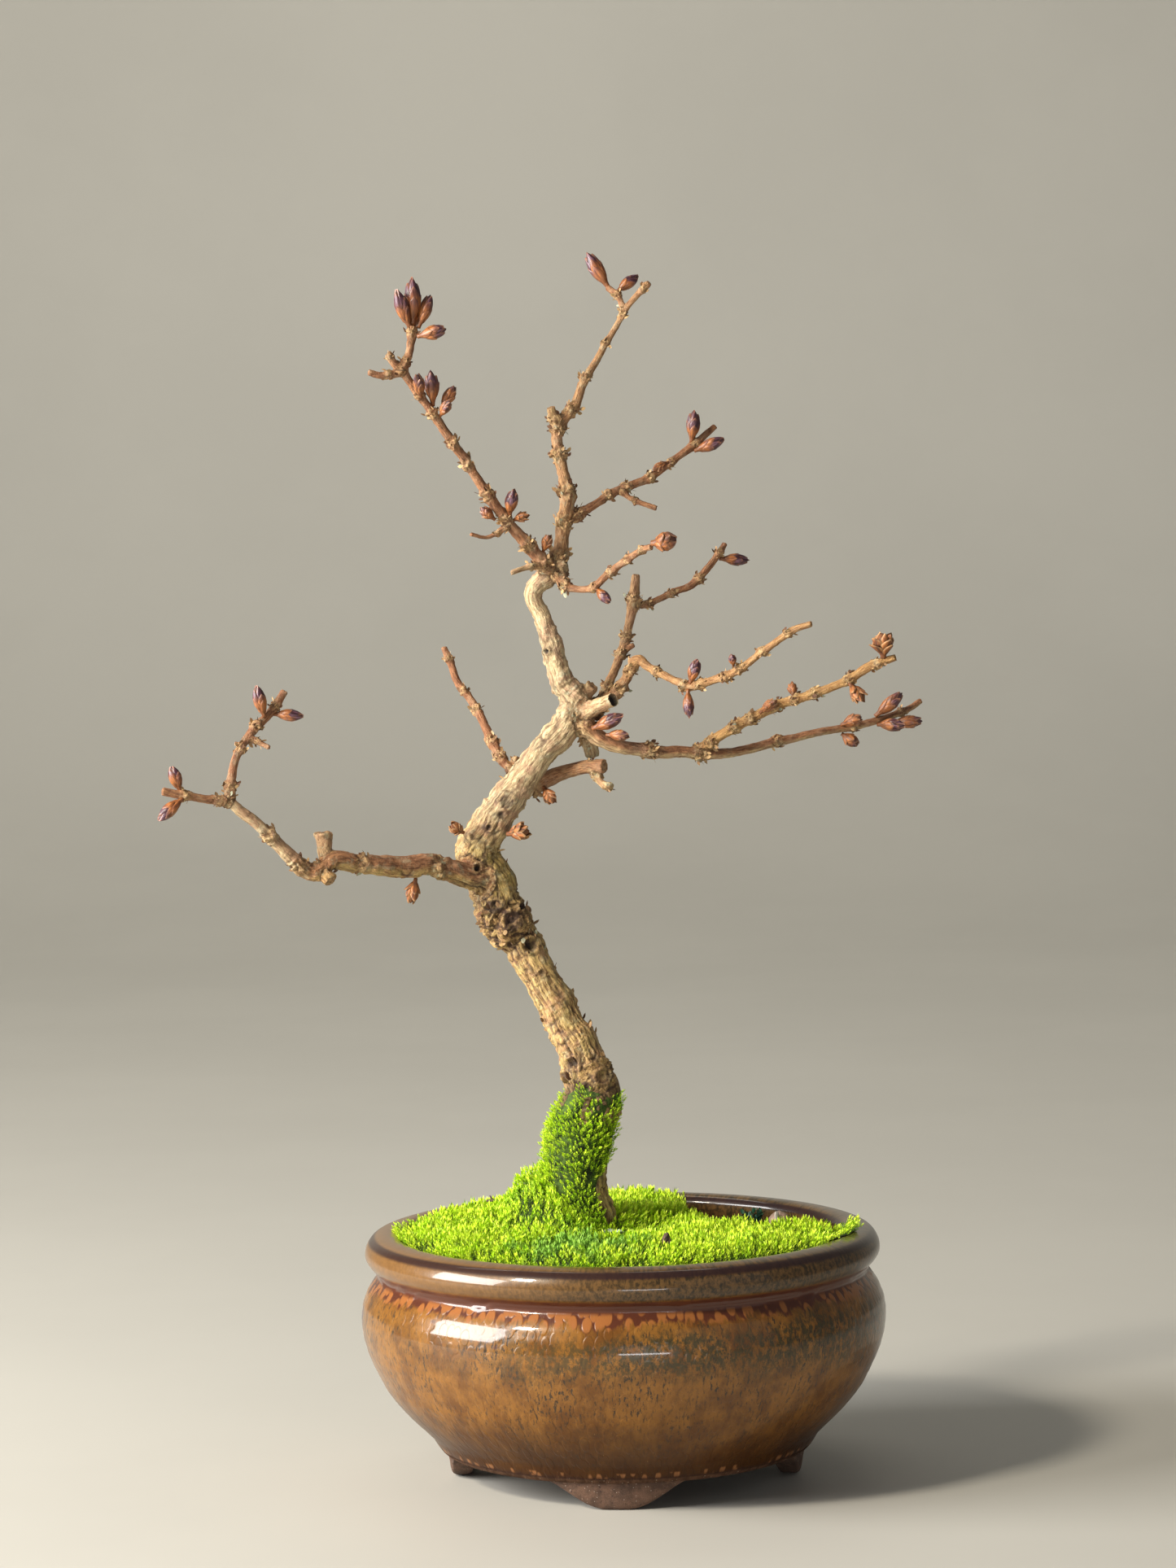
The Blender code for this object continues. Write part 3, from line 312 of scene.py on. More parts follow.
# Each point of a route is (x, y, height from the rim, radius).
trunkRoute = [
    (-9.5, 0, -4, 9), (-9.5, 0, 2, 7.8), (-10.6, 0, 8, 7), (-11.2, 0, 15, 6.9), (-10.6, 0, 24.5, 7.6),
    (-9, 0, 33, 8.1), (-8, 0, 40, 8), (-11, 0, 50.5, 6.6), (-16, 1, 60.5, 5.5), (-25, 2, 78, 5.3),
    (-32.5, 3, 89.5, 7.4), (-36, 3, 100.5, 6.2), (-39.5, 3, 108, 6.2), (-34.5, 2, 116.5, 5.4),
    (-22, 1, 133.5, 4.3), (-10.5, 0, 147.5, 4.6), (-14.5, 0, 156, 3.5), (-19, 1, 173, 2.7),
    (-21.5, 1, 181, 2.7), (-15, 0, 187.5, 3.8),
]
limbRoutes = {
    "leftBig": [
        (-37, 1, 99, 4.2), (-42, -3, 101, 3.5), (-52.5, -9, 104.5, 3.1), (-58.5, -12, 104.5, 3.1),
        (-70, -18, 106, 2.8), (-78, -22, 107.5, 2.8), (-82, -24, 105, 2.8), (-86, -25, 105.5, 2.3),
        (-96, -29, 115.5, 1.7), (-106.5, -32, 125.5, 1.5),
    ],
    "rightMain": [
        (-11, 0, 146, 3.4), (-4.5, -2, 140, 2.5), (0.5, -2, 137.5, 2.2), (7.5, -1, 136, 1.9),
        (22, 3, 134.5, 1.7), (34, 7, 134.5, 1.45), (47.5, 12, 137, 1.35), (60, 16, 139.5, 1.2),
        (72, 21, 141, 1.15), (84, 26, 144.5, 1.0), (89.5, 28, 147.5, 0.9),
    ],
    "reddishStub": [(-23.5, 4, 125.5, 2.8), (-16.5, 5, 129, 2.2), (-10, 3, 131, 2), (-2.5, -1, 131.5, 2.1)],
    "hollowStub": [(-9, -1, 146.5, 2.7), (-4.4, -5.6, 148.4, 2.1), (0.4, -10.4, 150.6, 2.0)],
    "paleStub": [(-11.5, 1, 148, 2.8), (-7.5, 1, 152, 2.1), (-5.5, 0, 154.5, 1.9)],
    "leftStubUp": [(-80, -23, 105.5, 2.2), (-81, -22, 110, 2.1), (-81, -22, 113, 2.5), (-81, -22, 115.5, 2.9)],
    "leftStubDown": [(-82, -24, 105.5, 2), (-79, -26, 102, 1.9)],
    "trunkKnob": [(-8.5, 0, 40, 6), (-3, -1, 40.5, 3.8), (-1, -1, 41, 2.4)],
    "burlLeft": [(-33, 3, 90, 6), (-39, 2, 87.5, 4)],
    "burlFront": [(-31, 2, 88, 6), (-29.5, -4.5, 85, 3.2)],
    "collarLeft": [(-39, 3, 108, 5), (-44, 2, 110.5, 2.6)],
    "paleKnob": [(-8, 0, 43, 6), (-5, -6.2, 44, 2.2)],
    "greyStub": [(-27, 3, 128, 2.5), (-26.2, 1, 133, 1.6)],
}
twigRoutes = {
    "leader": [
        (-15.2, 0.4, 185.5, 3), (-13.5, 0, 195.5, 2), (-12, 0, 208, 2), (-14, 1, 220.5, 1.6),
        (-14, 1, 227.5, 1.7), (-9, 2, 234, 1.4), (-5.5, 3, 242, 1.2), (0.5, 5, 251.5, 0.95),
        (5.5, 6, 260, 0.95), (7.5, 5, 262.5, 0.95), (12.5, 2, 267.5, 0.9),
    ],
    "leaderStub": [(-14, 1, 226.5, 1.5), (-16, -1, 233, 1.3)],
    "tipLeft": [(5.5, 6, 259.5, 0.9), (3.5, 7, 264, 0.9), (0.5, 8, 267, 0.9)],
    "crownRight": [
        (-12.5, 0, 201, 1.8), (-6, 2, 204, 1.35), (2.5, 6, 209.5, 1.3), (12, 10, 213, 1.15),
        (20, 14, 218.5, 1.1), (24, 16, 221.5, 1.2), (31, 19, 227.5, 0.9),
    ],
    "crownRightShoot": [(3, 6, 209.5, 0.9), (7, 5, 206.5, 0.75), (13.5, 4, 204, 0.9)],
    "crownLeft": [
        (-16.2, -0.7, 186.4, 2.4), (-22.5, -4, 193.5, 1.7), (-29, -8, 201, 1.6), (-39, -13, 216.5, 1.35),
        (-47, -17, 229, 1.25), (-54.5, -20, 239, 1.15), (-56.5, -21, 243, 1.35),
        (-55, -21, 247.5, 1.1), (-53.3, -20, 255, 1.3),
    ],
    "crownLeftStub": [(-56.5, -21, 242.5, 1.1), (-62, -22, 241.5, 1), (-66, -23, 242.5, 1)],
    "crownLeftSpur": [(-56.5, -21, 243, 1), (-59, -22, 245, 0.9), (-60, -22, 247.5, 0.85)],
    "crownLeftDry": [(-28.5, -8, 199.5, 0.9), (-34, -9, 196.5, 0.6), (-39, -11, 197.5, 0.7)],
    "crownDry": [(-18, -2, 189, 1.1), (-24.5, -6, 187.5, 0.8), (-28, -7, 186.5, 0.8)],
    "crownSmallRight": [
        (-15, -1, 186, 2), (-11.5, -4, 182, 1.15), (-5.5, -8, 182, 1.1), (0.5, -12, 186.5, 1.1),
        (8.5, -18, 192, 0.95), (11.5, -21, 193, 1),
    ],
    "upright": [
        (-9.5, 1, 146.5, 2), (-3, 5, 151, 1.4), (3, 11, 164, 1.3), (5, 13, 170.5, 1.3),
        (6.5, 15, 177.5, 1.6), (7.5, 16, 185.5, 1.2),
    ],
    "uprightSide": [
        (6.5, 15, 177.5, 1.2), (10.5, 17, 177, 1.05), (19, 21, 180.5, 1), (24, 23, 182.5, 1.1),
        (31, 27, 190, 1.05), (33.5, 28, 194, 0.9),
    ],
    "uprightSpur": [(3, 11, 163.5, 0.9), (6.5, 10, 165.5, 0.8)],
    "zigzag": [
        (-7, 2, 146.5, 2), (1, 3, 152, 1.55), (7, -1, 161, 1.6), (10.5, -4, 159, 1.2),
        (18.5, -10, 155, 1.15), (22, -12, 153.5, 1.25), (34, -19, 158, 1.15),
        (42, -24, 163.5, 1.05), (49.5, -28, 169, 1.05), (55, -30, 171, 0.95),
    ],
    "rightSecond": [
        (23, 4, 134.5, 1.4), (31, 2, 140, 1.4), (42.5, -2, 146, 1.4), (56, -7, 151, 1.25),
        (66, -11, 155, 1.2), (71.5, -14, 158.5, 1.3), (79, -16, 161, 1),
    ],
    "lichenSpur": [(-9, 1, 145, 2.3), (-7, 4, 139.5, 2.2), (-6, 6, 134, 2.0)],
    "reddishTwig": [(-6, 1, 132, 1.3), (-4, -1, 127, 1.1), (-0.5, -3, 125.5, 1)],
    "leftUp": [
        (-26, 2, 128.5, 2.4), (-29, 9, 130.5, 1.5), (-32.5, 12, 134, 1.4), (-38.5, 20, 146.5, 1.2),
        (-44, 25, 155, 1.15), (-48.5, 29, 165.5, 0.95),
    ],
    "leftUpStub": [(-29.5, 9, 130.5, 1.3), (-27, 9, 133.5, 1.5)],
    "leftBigEnd": [(-106, -32, 125, 1.3), (-118, -36, 127, 1.2), (-124, -38, 128.5, 1.2)],
    "leftBigUp": [
        (-106.5, -32, 125, 1.35), (-104.5, -29, 136, 1.2), (-101, -26, 142.5, 1.2),
        (-94.5, -22, 150, 1.2), (-91, -21, 155, 1.1),
    ],
    "leftBigTwig": [(-101.5, -26, 142, 0.9), (-98, -27, 141, 0.8), (-95, -28, 139.5, 0.8)],
}

# How each route is coloured: (young red bark, golden bark, lichen), from 0 to 1
barkKinds = {
    "trunk": (0.0, 0.0, 0.35), "leftBig": (0.85, 0.05, 0.3), "rightMain": (0.9, 0.1, 0.1),
    "reddishStub": (0.75, 0.0, 0.1), "hollowStub": (0.1, 0.1, 0.6), "paleStub": (0.0, 0.3, 0.3),
    "leftStubUp": (0.2, 0.3, 0.5), "leftStubDown": (0.4, 0.2, 0.0), "trunkKnob": (0.15, 0.0, 0.1),
    "burlLeft": (0.0, 0.1, 0.1), "burlFront": (0.1, 0.2, 0.1), "collarLeft": (0.0, 0.0, 0.5),
    "paleKnob": (0.0, 0.3, 0.2), "greyStub": (0.1, 0.0, 0.8), "leader": (0.65, 0.15, 0.25),
    "leaderStub": (0.2, 0.4, 0.1), "zigzag": (0.7, 0.5, 0.15), "rightSecond": (0.15, 0.9, 0.1),
    "lichenSpur": (0.0, 0.0, 1.0), "leftUp": (1.0, 0.2, 0.0), "upright": (0.62, 0.0, 0.1),
    "crownRight": (0.9, 0.1, 0.1), "crownDry": (0.2, 0.1, 0.2), "reddishTwig": (0.2, 0.3, 0.6),
    "crownSmallRight": (0.85, 0.1, 0.1), "leftBigUp": (0.9, 0.05, 0.2), "leftBigEnd": (0.85, 0.1, 0.1),
}
youngBark = (0.9, 0.1, 0.1)

woodValues = {
    "voxel": 0.42,
    "spacing": 0.7,  # between the rings that a branch is drawn with
    "sides": 14,
    "jointGap": 8.5,  # between the leaf joints of a twig
    "jointSwell": 0.3,
    "grooveDepth": 0.055,  # of the radius, on old bark
    "crackDepth": 0.38,
    "scaleHeight": 0.35,
    "grooveWidth": 1.9,
    "lumpDepth": 0.07,
    "splitHeight": 112.0,  # from the rim, where the wood is parted into two pieces
}

# Knots on the wood: (x, height from the rim, radius, depth, how dark)
knots = [
    (-29.8, 88.4, 2.0, 1.2, 0.6), (-24.8, 81.2, 2.1, 1.3, 0.7), (-39.0, 103.6, 1.1, 1.0, 1.0),
    (-30.4, 122.0, 2.0, 0.5, 0.5), (-32.0, 118.4, 1.2, 0.5, 0.8), (-35.6, 114.8, 1.0, 0.5, 0.8),
    (-13.0, 47.9, 1.7, 0.8, 0.8), (-14.9, 43.9, 1.3, 0.7, 1.0), (-4.9, 44.0, 2.0, 0.6, 0.3),
    (-18.4, 164.3, 0.8, 0.7, 1.0), (-34.0, 93.0, 1.5, 0.9, 0.7), (-27.0, 92.0, 1.2, 0.8, 0.8),
    (-21.5, 73.5, 1.0, 0.5, 0.7), (-9.5, 41.0, 1.1, 0.5, 0.8),
]
burlPlace = np.array([-31.0, 0.0, 87.0])
# Where the bark is lumpy and has lichen: (place, reach, roughness, lichen)
roughPlaces = [
    ((-31, 0, 87), 12, 0.6, 0.0), ((-11, 0, 151), 13, 0.42, 0.7), ((-15, 0, 187), 8, 0.4, 0.4),
    ((-51, -6, 104), 9, 0.4, 0.6), ((-81, -24, 105), 6, 0.35, 0.5), ((6.5, 15, 177), 4, 0.3, 0.3),
    ((-81, -22, 115.5), 4.5, 0.6, 0.2), ((-40, 0, 110), 9, 0.3, 0.5), ((-18, 0, 166), 9, 0.3, 0.5),
]


def samplePath(route, spacing):
    control = np.array(route, float)
    control[:, 2] += rimLevel
    ends = np.vstack([2 * control[0] - control[1], control, 2 * control[-1] - control[-2]])
    rows = []
    for a, b, c, d in zip(ends, ends[1:], ends[2:], ends[3:]):
        count = max(2, int(np.linalg.norm((c - b)[:3]) / spacing))
        for t in np.arange(count) / count:
            rows.append(
                (2 * b + (c - a) * t + (2 * a - 5 * b + 4 * c - d) * t**2 + (3 * b - a - 3 * c + d) * t**3) / 2
            )
    return np.array(rows + [control[-1]])


# Tangent and two directions across at each point of a path, turned as little as possible
def pathFrames(centres):
    tangents = unit(np.gradient(centres, axis=0))
    across = np.zeros_like(tangents)
    side = np.cross(tangents[0], (0.0, 1.0, 0.3))
    for i, tangent in enumerate(tangents):
        side = side - tangent * side.dot(tangent)
        side = side / np.linalg.norm(side)
        across[i] = side
    return tangents, across, np.cross(tangents, across)


def tubeSolid(centres, radii, sides):
    _, across, other = pathFrames(centres)
    turn = np.arange(sides) * math.tau / sides
    ring = across[:, None] * np.cos(turn)[None, :, None] + other[:, None] * np.sin(turn)[None, :, None]
    points = (centres[:, None] + ring * np.asarray(radii)[:, None, None]).reshape(-1, 3)
    faces = gridFaces(len(centres), sides, closed=True)
    faces.append(tuple(reversed(range(sides))))
    faces.append(tuple(range(len(points) - sides, len(points))))
    return points, faces


def ballSolid(centre, radius, sides=8, rings=5):
    points = []
    for ring in range(1, rings):
        tilt = math.pi * ring / rings
        for i in range(sides):
            turn = math.tau * i / sides
            points.append((math.sin(tilt) * math.cos(turn), math.sin(tilt) * math.sin(turn), math.cos(tilt)))
    points += [(0, 0, 1), (0, 0, -1)]
    faces = [tuple(reversed(face)) for face in gridFaces(rings - 1, sides, closed=True)]
    last = (rings - 2) * sides
    for i in range(sides):
        following = (i + 1) % sides
        faces += [(i, following, len(points) - 2), (last + following, last + i, len(points) - 1)]
    return np.array(points) * radius + centre, faces


# Every branch as a row of samples that later steps look things up in
class Wood:
    def __init__(self):
        self.columns = {key: [] for key in ("centre", "radius", "tangent", "across", "other", "along")}
        self.columns.update({key: [] for key in ("left", "young", "golden", "lichen", "joint", "route")})
        self.solids = []

    def addRoute(self, index, name, route, rng):
        path = samplePath(route, woodValues["spacing"])
        centres, radii = path[:, :3], path[:, 3].copy()
        along = np.concatenate([[0], np.cumsum(np.linalg.norm(np.diff(centres, axis=0), axis=1))])
        tangents, across, other = pathFrames(centres)
        joint = np.exp(-((along / 2.5) ** 2)) * (name != "trunk")
        if name in twigRoutes or name in ("leftBig", "rightMain"):
            at = rng.uniform(3.0, 6.0)
            turn = rng.uniform(0, math.tau)
            while at < along[-1]:
                spot = int(np.searchsorted(along, at))
                width = radii[spot] * 0.8 + 0.5
                joint = np.maximum(joint, np.exp(-(((along - at) / width) ** 2)))
                for side in (0, math.pi):
                    out = across[spot] * math.cos(turn + side) + other[spot] * math.sin(turn + side)
                    size = radii[spot] * 0.3 + rng.uniform(0.2, 0.45) - 0.3 * (name in limbRoutes)
                    self.solids.append(ballSolid(centres[spot] + out * radii[spot] * 1.02, size))
                turn += math.pi / 2 + rng.uniform(-0.2, 0.2)
                at += woodValues["jointGap"] * rng.uniform(0.6, 1.35) * (2.4 if name in limbRoutes else 1.0)
        radii *= 1 + woodValues["jointSwell"] * joint * smoothStep(2.7, 1.7, radii)
        wander = noiseAt(np.c_[along / 5.0, np.full(len(along), index * 3.7), np.zeros(len(along))], 5)
        radii *= 1 + 0.06 * wander
        sway = np.minimum(1, along / 6)[:, None] * np.minimum(1, (along[-1] - along) / 6)[:, None]
        for direction, seed in ((across, 11), (other, 12)):
            drift = noiseAt(np.c_[along / 7.0, np.full(len(along), index * 5.1), np.zeros(len(along))], seed)
            centres = centres + direction * (drift * 0.35)[:, None] * sway
        self.solids.append(tubeSolid(centres, radii, woodValues["sides"]))
        young, golden, lichen = barkKinds.get(name, youngBark)
        rows = len(along)
        values = {
            "centre": centres, "radius": radii, "tangent": tangents, "across": across, "other": other,
            "along": along, "left": along[-1] - along, "joint": joint, "young": np.full(rows, young),
            "golden": np.full(rows, golden), "lichen": np.full(rows, lichen), "route": np.full(rows, index),
        }
        for key, value in values.items():
            self.columns[key].append(value)

    def close(self):
        self.columns = {key: np.concatenate(value) for key, value in self.columns.items()}
        self.tree = KDTree(len(self.columns["along"]))
        for i, centre in enumerate(self.columns["centre"]):
            self.tree.insert(centre, i)
        self.tree.balance()

    # For each place, the sample whose surface is nearest
    def nearest(self, places):
        radius, found = self.columns["radius"], []
        for place in places:
            near = self.tree.find_n(place, 7)
            found.append(min(near, key=lambda hit: hit[2] - radius[hit[1]])[1])
        return np.array(found)


routeNames = ["trunk", *limbRoutes, *twigRoutes]
allRoutes = {"trunk": trunkRoute, **limbRoutes, **twigRoutes}
cutRoutes = ("hollowStub", "paleStub", "leftStubUp", "leftStubDown", "reddishStub", "greyStub", "leaderStub")


def smoothOver(edges, values, rounds, share=0.5):
    values = np.array(values, float)
    flat = values.reshape(len(values), -1)
    count = np.bincount(edges.ravel(), minlength=len(flat)).astype(float)
    for _ in range(rounds):
        for column in range(flat.shape[1]):
            total = np.bincount(edges[:, 0], flat[edges[:, 1], column], len(flat))
            total += np.bincount(edges[:, 1], flat[edges[:, 0], column], len(flat))
            flat[:, column] += share * (total / np.maximum(count, 1) - flat[:, column])
    return values


def vertexNormals(points, triangles):
    a, b, c = (points[triangles[:, i]] for i in range(3))
    normal = np.cross(b - a, c - a)
    total = np.zeros_like(points)
    for i in range(3):
        for axis in range(3):
            total[:, axis] += np.bincount(triangles[:, i], normal[:, axis], len(points))
    return unit(total)


def skinned(solids, voxel):
    points, faces = joined(solids)
    source = newPiece("woodSource", points, faces, None)
    remesh = source.modifiers.new("skin", "REMESH")
    remesh.mode = "VOXEL"
    remesh.voxel_size = voxel * mm
    graph = bpy.context.evaluated_depsgraph_get()
    mesh = bpy.data.meshes.new_from_object(source.evaluated_get(graph))
    bpy.data.objects.remove(source)
    rows = np.empty(len(mesh.vertices) * 3)
    mesh.vertices.foreach_get("co", rows)
    points = (rows.reshape(-1, 3) - potAxis) / mm
    loops = np.empty(len(mesh.loops), np.int64)
    mesh.loops.foreach_get("vertex_index", loops)
    edges = np.empty(len(mesh.edges) * 2, np.int64)
    mesh.edges.foreach_get("vertices", edges)
    bpy.data.meshes.remove(mesh)
    return points, loops.reshape(-1, 4), edges.reshape(-1, 2)


def makeWood():
    wood = Wood()
    rng = random.Random(31)
    for index, name in enumerate(routeNames):
        wood.addRoute(index, name, allRoutes[name], rng)
    wood.close()
    points, quads, edges = skinned(wood.solids, woodValues["voxel"])
    for share in (0.6, -0.62, 0.6, -0.62, 0.5):
        points = smoothOver(edges, points, 1, share)
    triangles = np.vstack([quads[:, :3], quads[:, [0, 2, 3]]])
    near = wood.nearest(points)
    look = {key: value[near] for key, value in wood.columns.items()}

    def onRoute(*names):
        return np.isin(look["route"], [routeNames.index(name) for name in names])

    offset = points - look["centre"]
    u, v = (offset * look["across"]).sum(1), (offset * look["other"]).sum(1)
    s = look["along"] + (offset * look["tangent"]).sum(1)
    radius = look["radius"]
    normals = smoothOver(edges, vertexNormals(points, triangles), 1)
    young = smoothOver(edges, look["young"], 12)
    # the two long limbs are tan below, and the left one is paler beyond its stub
    outerLimb = onRoute("leftBig") * smoothStep(-84, -89, points[:, 0])
    under = onRoute("leftBig", "rightMain") * smoothStep(0.1, -0.55, normals[:, 2])
    young = young * (1 - 0.8 * under) * (1 - 0.5 * outerLimb)
    route = look["route"] * 37.0
    old = 1 - smoothStep(0.2, 0.8, young)
    width = woodValues["grooveWidth"]
    ridgeNoise = noiseAt(np.c_[u / width, v / width, s / (width * 6.5) + route], 1)
    ridgeNoise += 0.5 * noiseAt(np.c_[u / width * 2.1, v / width * 2.1, s / (width * 3) + route], 2)
    groove = smoothStep(0.22, 0.0, np.abs(ridgeNoise)) * old * smoothStep(1.8, 4.0, radius)
    crackNoise = noiseAt(np.c_[u / 1.5, v / 1.5, s / 3.4 + route], 9)
    crack = smoothStep(0.17, 0.02, np.abs(crackNoise)) * (0.35 + 0.65 * old) * smoothStep(1.2, 3.5, radius)
    crack *= smoothStep(-0.35, 0.15, noiseAt(np.c_[u, v, s] / 6.5 + route[:, None], 10))
    smoother = 1 - 0.45 * smoothStep(100, 118, points[:, 2] - rimLevel)
    groove, crack = groove * smoother, crack * smoother
    scaled = noiseAt(np.c_[u / 2.4, v / 2.4, s / 1.0 + route], 13) * old * smoothStep(2.5, 5.0, radius)
    lumps = noiseAt(np.c_[u, v, s] / np.maximum(1.2, radius * 0.9)[:, None] + route[:, None], 3)
    fine = noiseAt(np.c_[u, v, s * 0.6] / 0.75 + route[:, None], 4)
    height = lumps * woodValues["lumpDepth"] * radius + fine * 0.035 * np.minimum(radius, 5)
    height -= groove * woodValues["grooveDepth"] * radius + crack * woodValues["crackDepth"]
    height += np.abs(scaled) * woodValues["scaleHeight"]
    height += look["joint"] * (fine + 0.5 * lumps) * 0.36 * np.minimum(radius, 1.8)
    burl = smoothStep(12.0, 6.0, np.linalg.norm(points - burlPlace - (0, 0, rimLevel), axis=1))
    rough = noiseAt(points / 1.7, 6) + 0.6 * noiseAt(points / 0.8, 7)
    roughness, crusted = np.zeros(len(points)), smoothOver(edges, look["lichen"], 12)
    for place, reach, depth, crust in roughPlaces:
        close = smoothStep(reach, reach * 0.5, np.linalg.norm(points - place - np.array((0, 0, rimLevel)), axis=1))
        roughness = np.maximum(roughness, close * depth)
        crusted = np.maximum(crusted, close * crust)
    height += roughness * rough
    dark = np.zeros(len(points))
    ringed, rings = np.zeros(len(points)), np.zeros(len(points))
    front = normals[:, 1] < 0.15
    for x, level, size, depth, shade in knots:
        away = np.hypot(points[:, 0] - x, points[:, 2] - rimLevel - level) / size
        away = away * (1 + 0.15 * noiseAt(points / 1.1, 8))
        pit = smoothStep(1.0, 0.25, away) * front
        lip = np.exp(-(((away - 1.15) / 0.3) ** 2)) * front
        height += lip * depth * 0.45 - pit * depth
        # each knot's pit is darkened: partly the scar's own dark brown, partly painted shade in the pit
        dark = np.maximum(dark, pit * shade)
        ringed = np.maximum(ringed, lip)
        rings = np.maximum(rings, np.exp(-(((away - 0.8) / 0.14) ** 2)) * front)
        rings = np.maximum(rings, 0.8 * np.exp(-(((away - 1.5) / 0.12) ** 2)) * front)
    facingEnd = smoothStep(0.55, 0.85, (normals * look["tangent"]).sum(1)) * (look["left"] < 1.2)
    isCut = onRoute(*cutRoutes)
    level = points[:, 2] - rimLevel
    wet = smoothStep(44, 39, level + 2 * noiseAt(points / 2.5, 14)) * smoothStep(32, 36, level) * 0.7
    pale = smoothStep(104, 122, level + 5 * noiseAt(points / 6, 15)) * (1 - young) * 0.85
    pale = np.maximum(pale, np.maximum(0.8 * outerLimb, 0.8 * onRoute("leftStubUp")))
    # the hollow stub's end, sunk in further below, is painted near black inside as painted shade
    hollow = facingEnd * onRoute("hollowStub")
    inner = smoothStep(0.98, 0.75, np.hypot(u, v) / radius)
    points = points + normals * height[:, None] - look["tangent"] * (hollow * inner * 1.6)[:, None]
    points -= look["tangent"] * (facingEnd * isCut * inner * 0.25)[:, None]
    reddish = onRoute("zigzag") * smoothStep(18, 14, look["along"])
    # painted shade: the burl's dips, where its rough bark sinks, go into the crevice mask
    burlDipShade = burl * smoothStep(0.1, -0.7, rough)
    attributes = {
        "barkPlace": np.c_[u, v, s + route],
        "young": young,
        "golden": smoothOver(edges, look["golden"] * (1 - reddish), 12),
        "lichen": crusted,
        "joint": np.clip(look["joint"] + 0.8 * ringed, 0, 1),
        # crevice: painted shade in the grooves, cracks, burl dips and knot pits, with the knot rings and the wet band
        # above the moss as the bark's own dark
        "crevice": np.clip(0.75 * groove + 0.9 * crack + burlDipShade + 0.6 * dark + 0.7 * rings + wet, 0, 1),
        "pale": pale,
        "olive": smoothStep(13, 4, np.hypot(points[:, 0] + 35, level - 101)) * (1 - young),
        # hollow: painted shade in the knot pits and inside the hollow stub's end
        "hollow": np.clip(np.maximum(dark, hollow * inner), 0, 1),
        "cutFace": facingEnd * isCut * ~onRoute("hollowStub"),
        "rough": np.clip(roughness / 0.6 + look["joint"] * 0.5, 0, 1),
    }
    normals = vertexNormals(points, triangles)
    level = points[quads].mean(1)[:, 2] - rimLevel
    made = []
    isLower = level < woodValues["splitHeight"]
    for name, chosen in (("lower_wood", isLower), ("upper_wood", ~isLower)):
        used, faces = np.unique(quads[chosen], return_inverse=True)
        kept = {key: value[used] for key, value in attributes.items()}
        piece = newPiece(name, points[used], faces.reshape(-1, 4), barkMaterial, kept)
        piece.data.normals_split_custom_set_from_vertices(normals[used].tolist())
        made.append(piece)
    return wood, points, normals, quads, attributes, look, made


